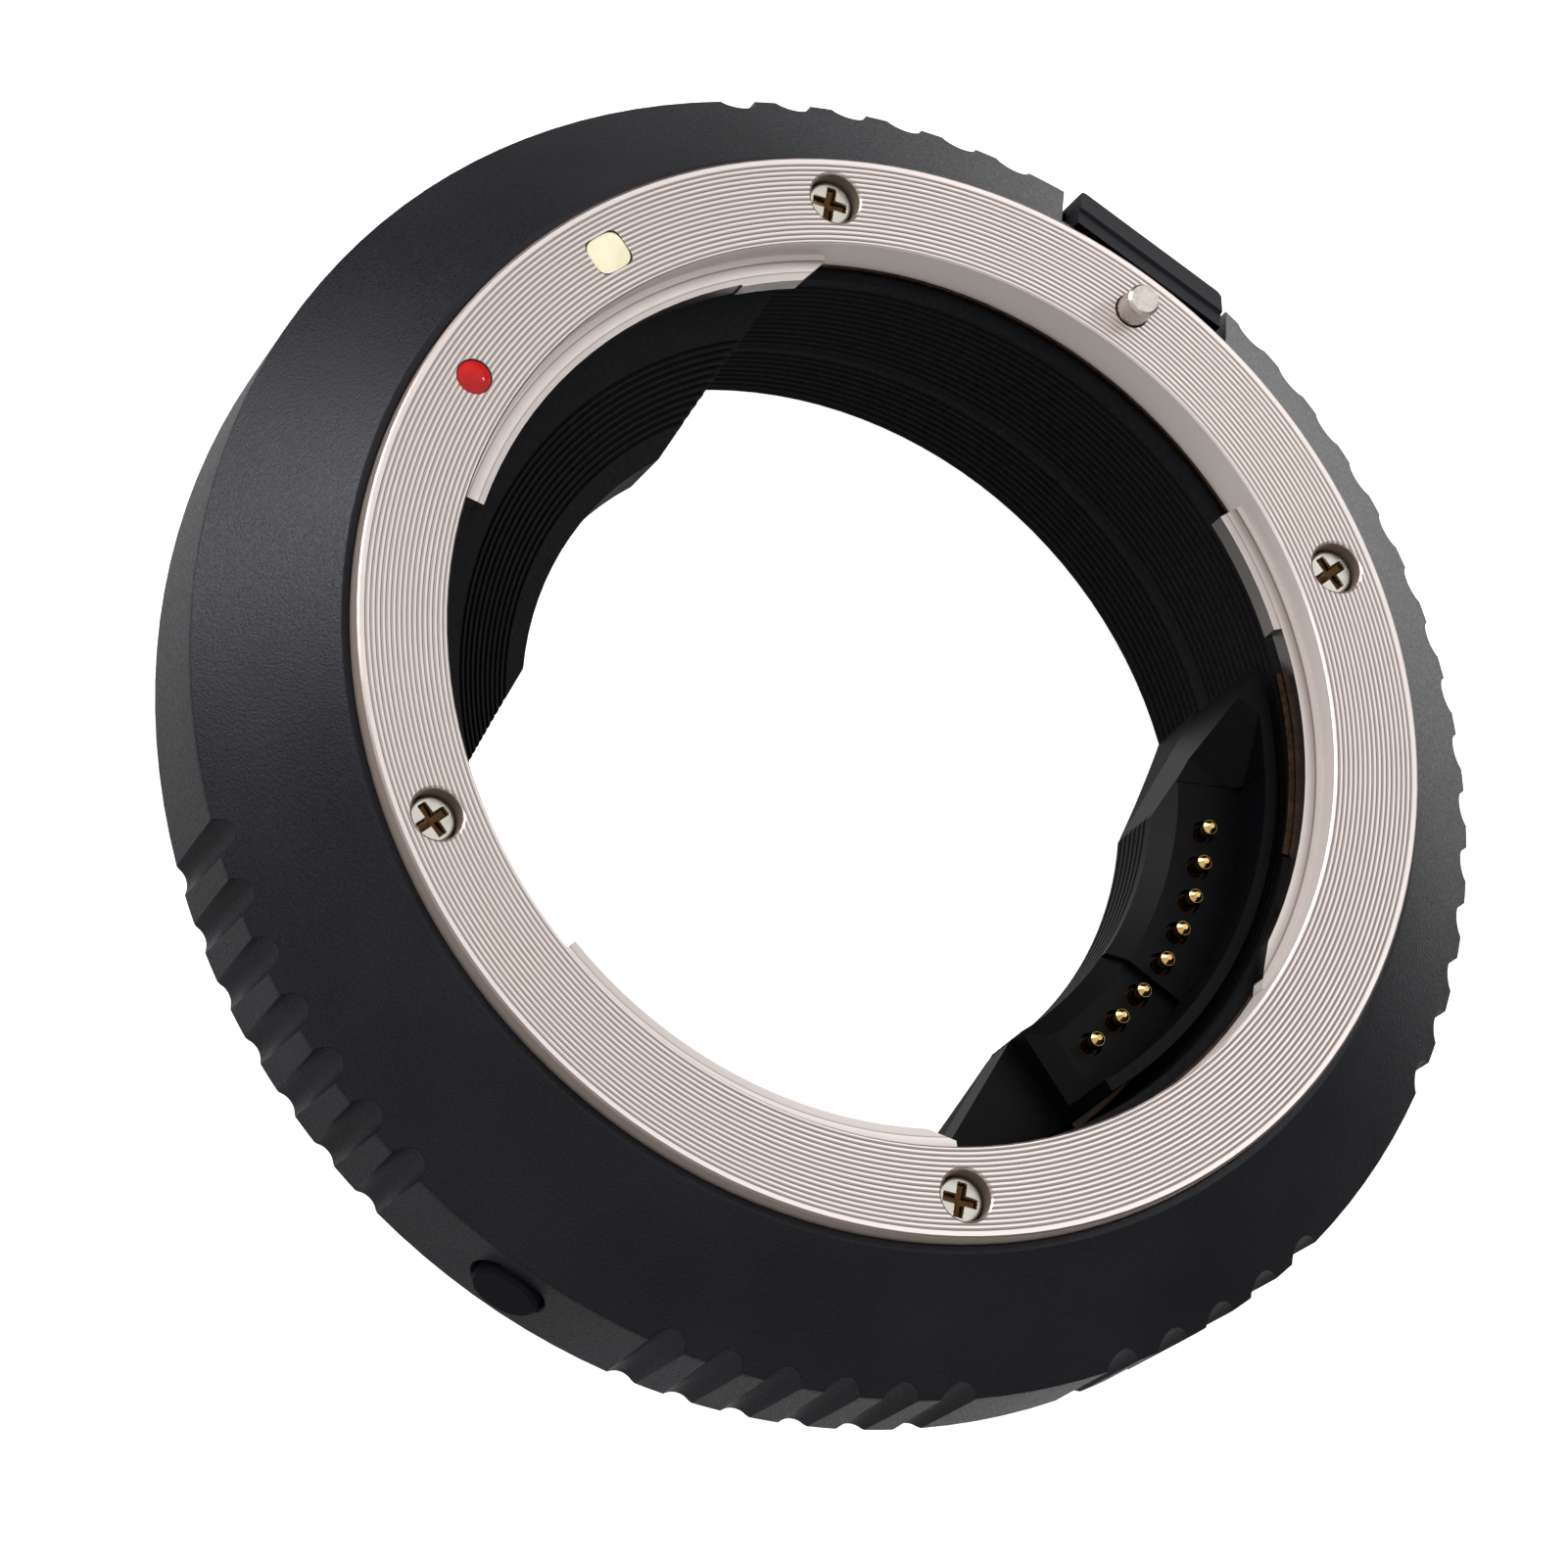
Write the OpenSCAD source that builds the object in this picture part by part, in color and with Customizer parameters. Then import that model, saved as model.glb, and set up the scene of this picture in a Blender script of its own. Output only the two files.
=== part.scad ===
// Lens mount adapter: a bayonet lens ring on a fluted body, for a medium format camera.
// Millimetres. +Z runs along the optical axis towards the lens, z = 0 is the camera flange.
// +Y points at the red index dot, +X at the release button, the lens contacts lie at -Y.

/* [Body] */
// Distance between the two flange faces
adapter_height = 17.3; // [17.2:0.05:17.4]
// Largest radius of the grip band
band_front_radius = 39.5; // [39.45:0.05:39.6]
// How much the band narrows towards the rear rim
band_taper = 0.4; // [0.35:0.05:0.45]
// Height at which the cone meets the band
band_top = 9.4; // [9.3:0.05:9.5]
// Height of the rear rim over the camera flange
rear_rim = 2.0; // [2.0:0.05:2.1]
// Radius of the narrow ledge around the lens ring
ledge_radius = 33.16; // [33.1:0.02:33.2]

/* [Grip] */
// Positions around the full circle of the flute pattern
flute_positions = 70; // [70:1:70]
// Radius of the round cutter
flute_radius = 1.15; // [1.1:0.05:1.2]
// Distance at which the cutter runs outside the band
flute_reach = 0.35; // [0.3:0.05:0.4]
// Offset of the pattern in positions
flute_offset = 0.69; // [0.65:0.01:0.72]

/* [Lens side mount] */
// Outer radius of the metal lens ring
lens_ring_radius = 32.5; // [32.4:0.05:32.5]
// Side wall of the ring that stands over the ledge
lens_ring_wall = 1.2; // [1.1:0.05:1.25]
// Radius of the throat
throat_radius = 27.17; // [27.1:0.01:27.2]
// Inner radius of the bayonet lugs
lug_radius = 25.6; // [25.55:0.05:25.7]
// Depth of the top of the lugs under the flange face
lug_top_depth = 1.75; // [1.7:0.05:1.8]
// Depth of the underside of the lugs
lug_bottom_depth = 3.0; // [2.95:0.05:3.0]
// Spacing of the turned rings in the face
groove_pitch = 0.305; // [0.30:0.005:0.31]
// Depth of the turned rings
groove_depth = 0.04; // [0.03:0.01:0.05]
// Radius of the screw circle
lens_screw_circle = 30.0; // [29.9:0.05:30.1]
// Angle of the screws from the X axis
lens_screw_angle = 37.1; // [36.9:0.1:37.3]

/* [Release] */
// Radius of the lock pin
lock_pin_radius = 0.975; // [0.95:0.005:0.98]
// Height of the pin over the flange
lock_pin_height = 1.8; // [1.7:0.05:1.9]
// Distance of the pin from the axis
lock_pin_x = 29.8; // [29.75:0.05:29.85]
// Travel of the release button towards the camera
release_travel = 1.9; // [1.8:0.05:1.9]
// Half width of the release button
button_half = 5.2; // [5.1:0.05:5.25]
// Half width of its slot in the body
slot_half = 6.0; // [5.9:0.05:6.1]
// Turns of the return spring
spring_turns = 7; // [6:1:8]

/* [Side button] */
// Radius of the round side button
side_button_radius = 2.05; // [2.0:0.01:2.06]
// Angle of the side button around the axis
side_button_angle = 181; // [180.5:0.25:181.5]
// Height of its centre
side_button_z = 5.7; // [5.6:0.05:5.8]
// Travel of the side button
side_travel = 0.5; // [0.4:0.05:0.5]

/* [Lens contacts] */
// Radius of the arc on which the contact pins stand
contact_arc_radius = 22.5; // [22.4:0.05:22.6]
// Angle of the first contact pin
contact_first_angle = -67.2; // [-67.4:0.1:-67.0]
// Angle between contact pins
contact_pitch = 5.75; // [5.7:0.01:5.8]
// Radius of a contact pin
contact_pin_radius = 0.42; // [0.41:0.01:0.42]
// Height of the platform under the first five pins
platform_high = 9.6; // [9.5:0.05:9.7]
// Height of the platform under the last three pins
platform_low = 9.0; // [8.95:0.05:9.1]
// Height of a pin tip over its platform
contact_proud = 1.25; // [1.2:0.05:1.3]

/* [Light baffles] */
// Radius of the tube at the lens end
tube_front_radius = 26.5; // [26.45:0.05:26.5]
// Radius of the tube at the camera end
tube_rear_radius = 25.5; // [25.5:0.05:25.6]
// Height of the seam between the two tubes
tube_seam = 4.6; // [4.55:0.05:4.6]
// Ribs in the front tube
front_rib_count = 14; // [13:1:15]
// Ribs in the rear tube
rear_rib_count = 9; // [8:1:10]
// Ribs on the cone over the electronics
cone_rib_count = 10; // [8:1:10]
// Depth of the ribs
rib_depth = 0.3; // [0.2:0.02:0.3]
// Distance of the top chord from the axis
top_chord = 17.5; // [17.4:0.05:17.6]
// Distance of the bottom chord from the axis
bottom_chord = 17.8; // [17.7:0.05:17.8]

/* [Camera side mount] */
// How far the rear metal flange lies inside the rim of the band
camera_flange_inset = 2.2; // [2.15:0.05:2.3]
// Radius of the collar that enters the camera
collar_radius = 31.3; // [31.2:0.05:31.35]
// Length of the collar behind the flange
collar_length = 4.9; // [4.8:0.05:5.0]
// Radius of the bayonet tabs
tab_radius = 32.4; // [32.3:0.05:32.4]
// Contact pads at the rear
pad_count = 12; // [11:1:12]

/* [Preview] */
// Name of the piece to draw

/* [Hidden] */
$fn = 96;
eps = 0.01;
running_gap = 0.09;
thread_gap = 0.05;
mount_shank = 0.85;
small_shank = 0.7;
clearance_hole = mount_shank + thread_gap;
pilot_hole = small_shank + thread_gap;
loose_gap = 0.3;

ring_shelf = adapter_height - lens_ring_wall;
ring_sink = 0.9;
ring_seat = ring_shelf - ring_sink;
spigot_bottom = 14.2;
spigot_radius = 28.3;
plate_bore = 27.6;
plate_step = 28.6;
plate_under = 12.3;
leaf_thickness = 0.3;
leaf_inner = throat_radius - 0.17;
leaf_spans = [[lug_radius + 0.1, -72, -47], [lug_radius + 0.8, 46, 98], [lug_radius + 0.8, 168, 212]];
band_rear_radius = band_front_radius - band_taper;
flute_centre_radius = band_front_radius + flute_reach;
camera_flange_radius = band_rear_radius - camera_flange_inset;
wall_inner = band_front_radius - 2.2;
wall_top = 8.6;
cone_inner = ledge_radius + 0.64;
rim_lip = band_rear_radius - 2.7;
rim_lip_top = 2.9;
ledge_drop = 0.15;
slot_front = ledge_radius + 0.24;
slot_floor = 2.6;
apron_face = band_front_radius - 1.3;
apron_top = 6.6;

tube_outer = 27.3;
tube_top = 13.6;
tube_bottom = -0.9;
tube_flange_radius = 32.9;
cone_rib_outer = 24.25;
cone_rib_inner = cone_rib_outer - 3.67;
cone_rib_top = plate_under - 1.38;
cone_rib_slope = 0.545;
top_block_arc = cone_rib_inner - 1.24;
rib_crest = 0.16;
front_flange_z = 11.2;
rear_flange_top = 3.1;
block_top = 3.9;

board_thickness = 0.8;
board_z = rear_flange_top;
board_top = board_z + board_thickness;
board_inner = 28.0;
board_outer = 32.9;
flex_thickness = 0.2;
board_screw_circle = 30.2;
board_screw_angles = [30, 150, 305];

lever_top = front_flange_z - loose_gap;
lever_thickness = 1.4;
lever_z = lever_top - lever_thickness;
lever_half = 3.4;
lever_inner = 28.2;
lever_outer = band_front_radius - 2.7;
guide_x = 32.0;
guide_radius = 0.6;
spring_inner = 1.15;
spring_outer = 1.5;
button_screw_x = band_front_radius - 4.1;
button_screw_y = 2.2;
button_bottom = 4.8;

button_front = slot_front + loose_gap;
button_face = band_front_radius + 0.4;
button_back = apron_face + 0.2;
button_foot = wall_inner - loose_gap;

side_face = band_front_radius + 0.3;
side_flange_x = wall_inner - 1.1;
side_flange_radius = 2.6;
side_flange_thickness = 0.6;
stem_length = 1.6;
stem_end = side_flange_x - stem_length;
plunger_radius = 0.8;
plunger_entry = 0.7;
plunger_length = stem_end - board_outer + plunger_entry;
switch_depth = 3.1;

index_circle = lens_screw_circle - 0.28;
dot_radius = 1.0;
dot_sink = 0.5;
mark_angle = 66.5;
mark_width = 2.2;
mark_length = 2.4;
mark_sink = 0.35;
screw_sink = 1.7;

post_radius = 1.65;
camera_screw_circle = camera_flange_radius - 2.2;
cone_rise = (ring_shelf - ledge_drop - band_top) / (band_front_radius - ledge_radius);
post_top = band_top + (band_front_radius - camera_screw_circle - post_radius) * cone_rise - 0.4;
camera_dot_circle = camera_flange_radius - 3.0;
camera_dot_radius = 0.9;
camera_lock_circle = camera_flange_radius - 2.9;
gasket_inner = camera_flange_radius + thread_gap;
gasket_outer = gasket_inner + 0.5;
gasket_bottom = 1.1;
camera_screw_angles = [45, 135, 225, 315];
lens_screw_angles = [for (s = [-1, 1], a = [lens_screw_angle, 180 - lens_screw_angle]) s * a];
baffle_screw_angles = [60, 180, 300];
baffle_screw_circle = 30.4;

block_outer = 25.45;
block_rim = block_outer - 0.7;
block_arc = 19.6;
block_shoulder = block_arc + 1.2;
block_slope = 1.0;
rim_top = 13.1;
wing_low = 6.5;
foot_step = 0.06;
ramp_x = 15.4;
ramp_angle = 47;
block_bevel = 0.8;
block_bevel_angle = 34;
arc_rib_pitch = 0.65;
arc_rib_depth = 0.16;
arc_rib_count = 6;
chord_end = 136;
pin_count = 8;
pin_travel = 0.9;
barrel_radius = 0.6;
socket_radius = 0.7;
socket_depth = 0.4;
last_pin_angle = contact_first_angle - (pin_count - 1) * contact_pitch;
step_angle = contact_first_angle - 4.5 * contact_pitch;
platform_from = contact_first_angle + 7.7;
platform_to = last_pin_angle - 7.5;
flex_from = contact_first_angle + 2.7;
flex_to = last_pin_angle - 3.05;
flex_inner = 21.7;
flex_outer = board_inner + 3.5;
block_screw_x = [-13.2, 13.4];
block_screw_y = -20.4;
block_screw_seat = 2.6;

collar_inner = collar_radius - 1.8;
camera_block_outer = collar_inner - loose_gap;
camera_block_inner = camera_block_outer - 3.4;
pad_circle = camera_block_outer - 1.7;
pad_pitch = 4.6;
camera_block_half = 27.5;
camera_ear_half = 33;
camera_ear = 1.0;
camera_ear_angle = 30.5;
camera_block_bottom = -4.6;
pad_thickness = 0.15;
camera_block_screw_circle = camera_block_outer - 0.85;

metal = [0.83, 0.80, 0.78];
steel = [0.72, 0.72, 0.74];
black = [0.16, 0.16, 0.17];
matte = [0.07, 0.07, 0.075];
gold = [0.85, 0.66, 0.28];

// Places children on a circle at an angle, a radius and a height
module at(angle, radius, z) {
    rotate([0, 0, angle]) translate([radius, 0, z]) children();
}

// A rectangular section turned through part of the circle
module sector(r1, r2, z1, z2, a1, a2) {
    rotate([0, 0, a1]) rotate_extrude(angle = a2 - a1) translate([r1, z1]) square([r2 - r1, z2 - z1]);
}

// A full ring of rectangular section
module ring(r1, r2, z1, z2) {
    rotate_extrude() translate([r1, z1]) square([r2 - r1, z2 - z1]);
}

// A flat block with rounded upright corners, centred on the axis
module rounded_block(x, y, h, r) {
    translate([-x / 2 + r, -y / 2, 0]) cube([x - 2 * r, y, h]);
    translate([-x / 2, -y / 2 + r, 0]) cube([x, y - 2 * r, h]);
    for (i = [-1, 1], j = [-1, 1]) translate([i * (x / 2 - r), j * (y / 2 - r), 0]) cylinder(r = r, h = h);
}

// A screw with its head on top, head underside at z = 0
module screw(head_radius, head_height, shank_radius, shank_length) {
    recess_width = head_radius * 0.38;
    recess_length = head_radius * 1.45;
    difference() {
        union() {
            cylinder(r = head_radius, h = head_height - 0.12);
            translate([0, 0, head_height - 0.12 - eps])
                cylinder(r1 = head_radius, r2 = head_radius - 0.15, h = 0.12 + eps);
            translate([0, 0, -shank_length]) cylinder(r = shank_radius, h = shank_length + eps);
        }
        for (a = [0, 90]) rotate([0, 0, a])
            translate([-recess_length / 2, -recess_width / 2, head_height * 0.45])
                cube([recess_length, recess_width, head_height]);
    }
}

// A flat slice of the plan given by radius and angle pairs
module polar_plate(points, z1, z2) {
    translate([0, 0, z1]) linear_extrude(height = z2 - z1)
        polygon([for (p = points) [p[0] * cos(p[1]), p[0] * sin(p[1])]]);
}

function tube_r(z) = tube_front_radius
    + (z - spigot_bottom) * (tube_front_radius - tube_rear_radius) / (spigot_bottom - tube_bottom);

function flute_angle(k) = (k + flute_offset) * 360 / flute_positions;

flute_indices = [
    for (k = [2:7]) k,
    for (k = [26:32]) k,
    for (k = [37:42]) k,
    for (k = [45:49]) k,
    for (k = [53:67]) k
];

// Body shell

function body_profile() = [
    [plate_bore, plate_under],
    [plate_bore, spigot_bottom - leaf_thickness],
    [plate_step, spigot_bottom - leaf_thickness],
    [plate_step, ring_seat],
    [lens_ring_radius + thread_gap, ring_seat],
    [lens_ring_radius + thread_gap, ring_shelf],
    [ledge_radius - ledge_drop, ring_shelf],
    [ledge_radius, ring_shelf - ledge_drop],
    [band_front_radius, band_top],
    [band_front_radius, band_top - 0.3],
    [band_rear_radius, rear_rim + 0.15],
    [band_rear_radius - 0.15, rear_rim],
    [rim_lip, rear_rim],
    [rim_lip, rim_lip_top],
    [wall_inner, rim_lip_top],
    [wall_inner, wall_top],
    [cone_inner, plate_under]
];

// Cutter of the grip: straight round flutes that run out through the rim and the cone
module flutes() {
    for (k = flute_indices)
        at(flute_angle(k), flute_centre_radius, 0.5) cylinder(r = flute_radius, h = 14);
}

// Slot for the release button, with a thin wall left behind the lower end of the button
module release_slot() {
    translate([slot_front, -slot_half, apron_top]) cube([button_face - slot_front + 3, 2 * slot_half, 20]);
    translate([apron_face, -slot_half, slot_floor]) cube([5, 2 * slot_half, apron_top - slot_floor + 1]);
}

module side_button_hole() {
    rotate([0, 0, side_button_angle]) translate([0, 0, side_button_z]) rotate([0, 90, 0]) {
        translate([0, 0, wall_inner - 1.3]) cylinder(r = side_button_radius + running_gap, h = 5);
        translate([0, 0, side_face - 0.85])
            cylinder(r1 = side_button_radius + running_gap, r2 = side_button_radius + 0.45, h = 0.45);
    }
}

module body_shell() {
    color(black) difference() {
        union() {
            rotate_extrude() polygon(body_profile());
            for (a = camera_screw_angles)
                at(a, camera_screw_circle, rear_rim) cylinder(r = post_radius, h = post_top - rear_rim);
        }
        flutes();
        release_slot();
        side_button_hole();
        for (a = lens_screw_angles)
            at(a, lens_screw_circle, plate_under - 1) cylinder(r = clearance_hole, h = 5);
        for (a = baffle_screw_angles)
            at(a, baffle_screw_circle, plate_under - 1) cylinder(r = pilot_hole, h = 2.9);
        for (a = camera_screw_angles)
            at(a, camera_screw_circle, rear_rim - 1) cylinder(r = clearance_hole, h = 7);
        translate([lock_pin_x, 0, plate_under - 1]) cylinder(r = 1.3, h = 5);
    }
}

// Lens mount ring

groove_first = 27.35;
groove_count = 16;
groove_width = 0.17;
groove_start = [for (i = [0:groove_count - 1]) groove_first + i * groove_pitch];

function ring_profile() = concat(
    [
        [throat_radius, spigot_bottom],
        [spigot_radius, spigot_bottom],
        [spigot_radius, ring_seat],
        [lens_ring_radius, ring_seat],
        [lens_ring_radius, adapter_height - 0.12],
        [lens_ring_radius - 0.12, adapter_height]
    ],
    [for (i = [groove_count - 1:-1:0], j = [0:2])
        [groove_start[i] + groove_width * (1 - j / 2), adapter_height - (j == 1 ? groove_depth : 0)]],
    [
        [throat_radius + 0.1, adapter_height],
        [throat_radius, adapter_height - 0.1]
    ]
);

// One lug: a sector with its lead-in, steps and tail cut from the inside
module lug(from, to) {
    difference() {
        sector(lug_radius, throat_radius + 0.4, adapter_height - lug_bottom_depth,
            adapter_height - lug_top_depth, from, to);
        translate([0, 0, spigot_bottom - 1]) children();
    }
}

// Cutter that opens a lug to a larger radius between two angles
module lug_step(radius, from, to) {
    sector(lug_radius - 2, radius, 0, 5, from, to);
}

module lens_lugs() {
    lug(37.9, 102) {
        polar_plate([[27.0, 37.2], [lug_radius - 0.3, 42.4], [23, 42.4], [23, 36], [26.5, 36]], 0, 5);
        lug_step(lug_radius + 0.12, 50.1, 110);
    }
    lug(-92, -25.5) {
        lug_step(lug_radius + 0.5, -100, -42);
        polar_plate([[26.0, -85.2], [26.6, -89.5], [27.3, -92.8], [24, -93], [24, -85]], 0, 5);
    }
    lug(162.5, 218.5)
        polar_plate([[lug_radius - 0.1, 214.2], [26.4, 219], [23, 219], [23, 214]], 0, 5);
}

module lens_mount_ring() {
    color(metal) difference() {
        union() {
            rotate_extrude() polygon(ring_profile());
            lens_lugs();
        }
        for (a = lens_screw_angles) {
            at(a, lens_screw_circle, adapter_height - screw_sink) cylinder(r = 1.5, h = 3);
            at(a, lens_screw_circle, adapter_height - 0.15) cylinder(r1 = 1.5, r2 = 1.8, h = 0.3);
            at(a, lens_screw_circle, spigot_bottom - 1) cylinder(r = clearance_hole, h = 4);
        }
        translate([lock_pin_x, 0, spigot_bottom - 1]) cylinder(r = lock_pin_radius + running_gap, h = 5);
        translate([0, index_circle, adapter_height - dot_sink]) cylinder(r = dot_radius + 0.08, h = 1);
        at(mark_angle, index_circle, adapter_height - mark_sink)
            rounded_block(mark_width + 0.06, mark_length + 0.06, 1, 0.55);
    }
}

module bayonet_leaf_spring() {
    color([0.45, 0.33, 0.22]) {
        ring(leaf_inner, spigot_radius, spigot_bottom - leaf_thickness, spigot_bottom);
        for (a = leaf_spans)
            sector(a[0], leaf_inner + 0.1, spigot_bottom - leaf_thickness, spigot_bottom, a[1], a[2]);
    }
}

module lens_mount_screws() {
    color(steel) for (a = lens_screw_angles)
        at(a, lens_screw_circle, adapter_height - screw_sink) rotate([0, 0, a * 3]) screw(1.35, 0.8, mount_shank, 3.1);
}

module red_index_dot() {
    color([0.8, 0.06, 0.06]) translate([0, index_circle, adapter_height - dot_sink]) {
        cylinder(r = dot_radius, h = 0.4);
        intersection() {
            cylinder(r = dot_radius, h = 2);
            translate([0, 0, -1.35]) sphere(r = 2.0);
        }
    }
}

module ivory_index_mark() {
    color([0.93, 0.90, 0.78])
        at(mark_angle, index_circle, adapter_height - mark_sink)
            rounded_block(mark_width, mark_length, mark_sink - 0.02, 0.52);
}

// Release

module lock_pin() {
    color(steel) translate([lock_pin_x, 0, 0]) {
        translate([0, 0, lever_z]) cylinder(r = lock_pin_radius, h = adapter_height + lock_pin_height - 0.15 - lever_z);
        translate([0, 0, adapter_height + lock_pin_height - 0.15 - eps])
            cylinder(r1 = lock_pin_radius, r2 = lock_pin_radius - 0.15, h = 0.15 + eps);
    }
}

module lock_lever() {
    corner = 1.0;
    color(steel) difference() {
        translate([(lever_inner + lever_outer) / 2, 0, lever_z])
            rounded_block(lever_outer - lever_inner, 2 * lever_half, lever_thickness, corner);
        translate([lock_pin_x, 0, lever_z - 1]) cylinder(r = lock_pin_radius + 0.02, h = 4);
        translate([guide_x, 0, lever_z - 1]) cylinder(r = guide_radius + running_gap, h = 4);
        for (s = [-1, 1]) translate([button_screw_x, s * button_screw_y, lever_z - 1]) cylinder(r = 0.65, h = 4);
    }
}

// Return spring, drawn as a corrugated sleeve of its own length
module lock_spring() {
    spring_low = rear_flange_top;
    pitch = (lever_z - spring_low) / spring_turns;
    color(steel) rotate_extrude() translate([0, 0])
        polygon(concat(
            [[spring_inner, spring_low]],
            [for (i = [0:spring_turns - 1]) each [
                [spring_outer - 0.1, spring_low + i * pitch],
                [spring_outer, spring_low + (i + 0.25) * pitch],
                [spring_outer - 0.1, spring_low + (i + 0.5) * pitch],
                [spring_inner + 0.12, spring_low + (i + 0.75) * pitch]
            ]],
            [[spring_outer - 0.1, lever_z], [spring_inner, lever_z]]
        ));
}

module placed_lock_spring() {
    translate([guide_x, 0, 0]) lock_spring();
}

module lever_guide_pin() {
    color(steel) translate([guide_x, 0, 0]) {
        translate([0, 0, rear_rim]) cylinder(r = guide_radius, h = lever_top - 0.3 - rear_rim);
        translate([0, 0, rear_flange_top]) cylinder(r = 1.0, h = 0.5);
    }
}

// Side view of the release button: a sloped front that follows the cone, a flat outer face
button_side = [
    [button_front, 15.6],
    [button_front + 2.2, 13.4],
    [button_front + 2.5, 13.35],
    [button_face - 0.15, 9.55],
    [button_face, 9.25],
    [button_face, button_bottom + 0.3],
    [button_face - 0.3, button_bottom],
    [button_back, button_bottom],
    [button_back, 8.8],
    [button_foot, 10.3],
    [button_foot, lever_top],
    [button_front, lever_top]
];

module button_blank() {
    translate([0, button_half, 0]) rotate([90, 0, 0]) linear_extrude(height = 2 * button_half) polygon(button_side);
}

// Plan outline that rounds the upright corners of the button
module button_outline() {
    corner = 0.8;
    length = button_face - button_front;
    translate([button_front + length / 2, 0, 0]) rounded_block(length + eps, 2 * button_half, 20, corner);
    translate([button_front - 1, -button_half, 0]) cube([3, 2 * button_half, 20]);
}

module release_button() {
    color([0.11, 0.11, 0.12]) difference() {
        intersection() {
            button_blank();
            button_outline();
        }
        for (s = [-1, 1])
            translate([button_screw_x, s * button_screw_y, lever_top - 1]) cylinder(r = 0.6, h = 2.9);
    }
}

module release_button_screws() {
    color(steel) for (s = [-1, 1])
        translate([button_screw_x, s * button_screw_y, lever_z]) rotate([180, 0, 0]) screw(1.1, 0.7, 0.55, 3.1);
}

// Side button

module along_side_button() {
    rotate([0, 0, side_button_angle]) translate([0, 0, side_button_z]) rotate([0, 90, 0]) children();
}

module side_button() {
    rounding = 0.2;
    color([0.10, 0.10, 0.11]) along_side_button() {
        translate([0, 0, side_flange_x]) cylinder(r = side_button_radius, h = side_face - rounding - side_flange_x);
        translate([0, 0, side_face - rounding - eps])
            cylinder(r1 = side_button_radius, r2 = side_button_radius - rounding, h = rounding + eps);
        translate([0, 0, side_flange_x]) cylinder(r = side_flange_radius, h = side_flange_thickness);
        translate([0, 0, stem_end]) cylinder(r = 1.0, h = stem_length + 0.1);
    }
}

module switch_plunger() {
    color([0.5, 0.5, 0.5]) along_side_button()
        translate([0, 0, stem_end - plunger_length]) cylinder(r = plunger_radius, h = plunger_length);
}

module side_switch() {
    color([0.2, 0.2, 0.2]) rotate([0, 0, side_button_angle]) difference() {
        translate([board_outer - switch_depth, -2.6, board_top]) cube([switch_depth, 5.2, 3.4]);
        translate([stem_end - plunger_length - side_travel - 0.2, 0, side_button_z])
            rotate([0, 90, 0]) cylinder(r = plunger_radius + running_gap, h = 5);
    }
}

// Lens contact block

// Grooves in the inner arc wall of the block, listed downwards
function arc_ribs() = [
    for (i = [arc_rib_count - 1:-1:0])
        let (z = block_top + 0.3 + i * arc_rib_pitch)
        each [
            [block_arc, z + 0.34],
            [block_arc + arc_rib_depth, z + 0.27],
            [block_arc + arc_rib_depth, z + 0.07],
            [block_arc, z]
        ]
];

// A profile turned from one angle down to another
module turned(from, to) {
    rotate([0, 0, to]) rotate_extrude(angle = from - to) children();
}

// The block before its platforms are cut: a ribbed arc
module block_blank() {
    turned(chord_end - 180, -chord_end) polygon(concat(
        [
            [block_arc, block_top],
            [block_outer, block_top],
            [block_outer, rim_top],
            [block_arc, rim_top]
        ],
        arc_ribs()
    ));
}

// Cuts both platforms down to the high one, with a slope along the inner side
module platform_cutter() {
    inner = 2 * block_arc - block_shoulder;
    turned(platform_from, platform_to) polygon([
        [inner, platform_high - 2 * block_slope],
        [block_shoulder, platform_high],
        [block_rim, platform_high],
        [block_rim, rim_top + 1],
        [inner, rim_top + 1]
    ]);
}

// Cuts the low platform under the high one
module low_platform_cutter() {
    inner = 2 * block_arc - block_shoulder;
    turned(step_angle, platform_to - 1) polygon([
        [inner, platform_low - 2 * block_slope],
        [block_shoulder, platform_low],
        [block_rim - foot_step, platform_low],
        [block_rim - foot_step, rim_top],
        [inner, rim_top]
    ]);
}

// Cuts the high wing back to a ramp that comes down to the platform
module ramp_cutter() {
    intersection() {
        translate([ramp_x, -30, rim_top]) rotate([0, -ramp_angle, 0]) translate([-20, 0, 0]) cube([20, 30, 20]);
        translate([0, 0, platform_high + foot_step]) cylinder(r = block_rim - foot_step, h = 20);
    }
}

// Bevels the end of the low platform
module bevel_cutter() {
    intersection() {
        rotate([0, 0, platform_to]) translate([0, 0, platform_low - block_bevel])
            rotate([block_bevel_angle, 0, 0]) translate([18, -2, 0]) cube([10, 6, 3]);
        cylinder(r = block_rim - 2 * foot_step, h = 20);
    }
}

module contact_block_body() {
    difference() {
        intersection() {
            block_blank();
            translate([-30, -30, 0]) cube([60, 30 - bottom_chord, 20]);
        }
        platform_cutter();
        low_platform_cutter();
        sector(block_arc - 1, block_outer + 1, wing_low, rim_top + 2, -chord_end - 1, platform_to);
        ramp_cutter();
        bevel_cutter();
    }
}

function pin_platform(i) = i < 5 ? platform_high : platform_low;
function pin_angle(i) = contact_first_angle - contact_pitch * i;

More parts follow.
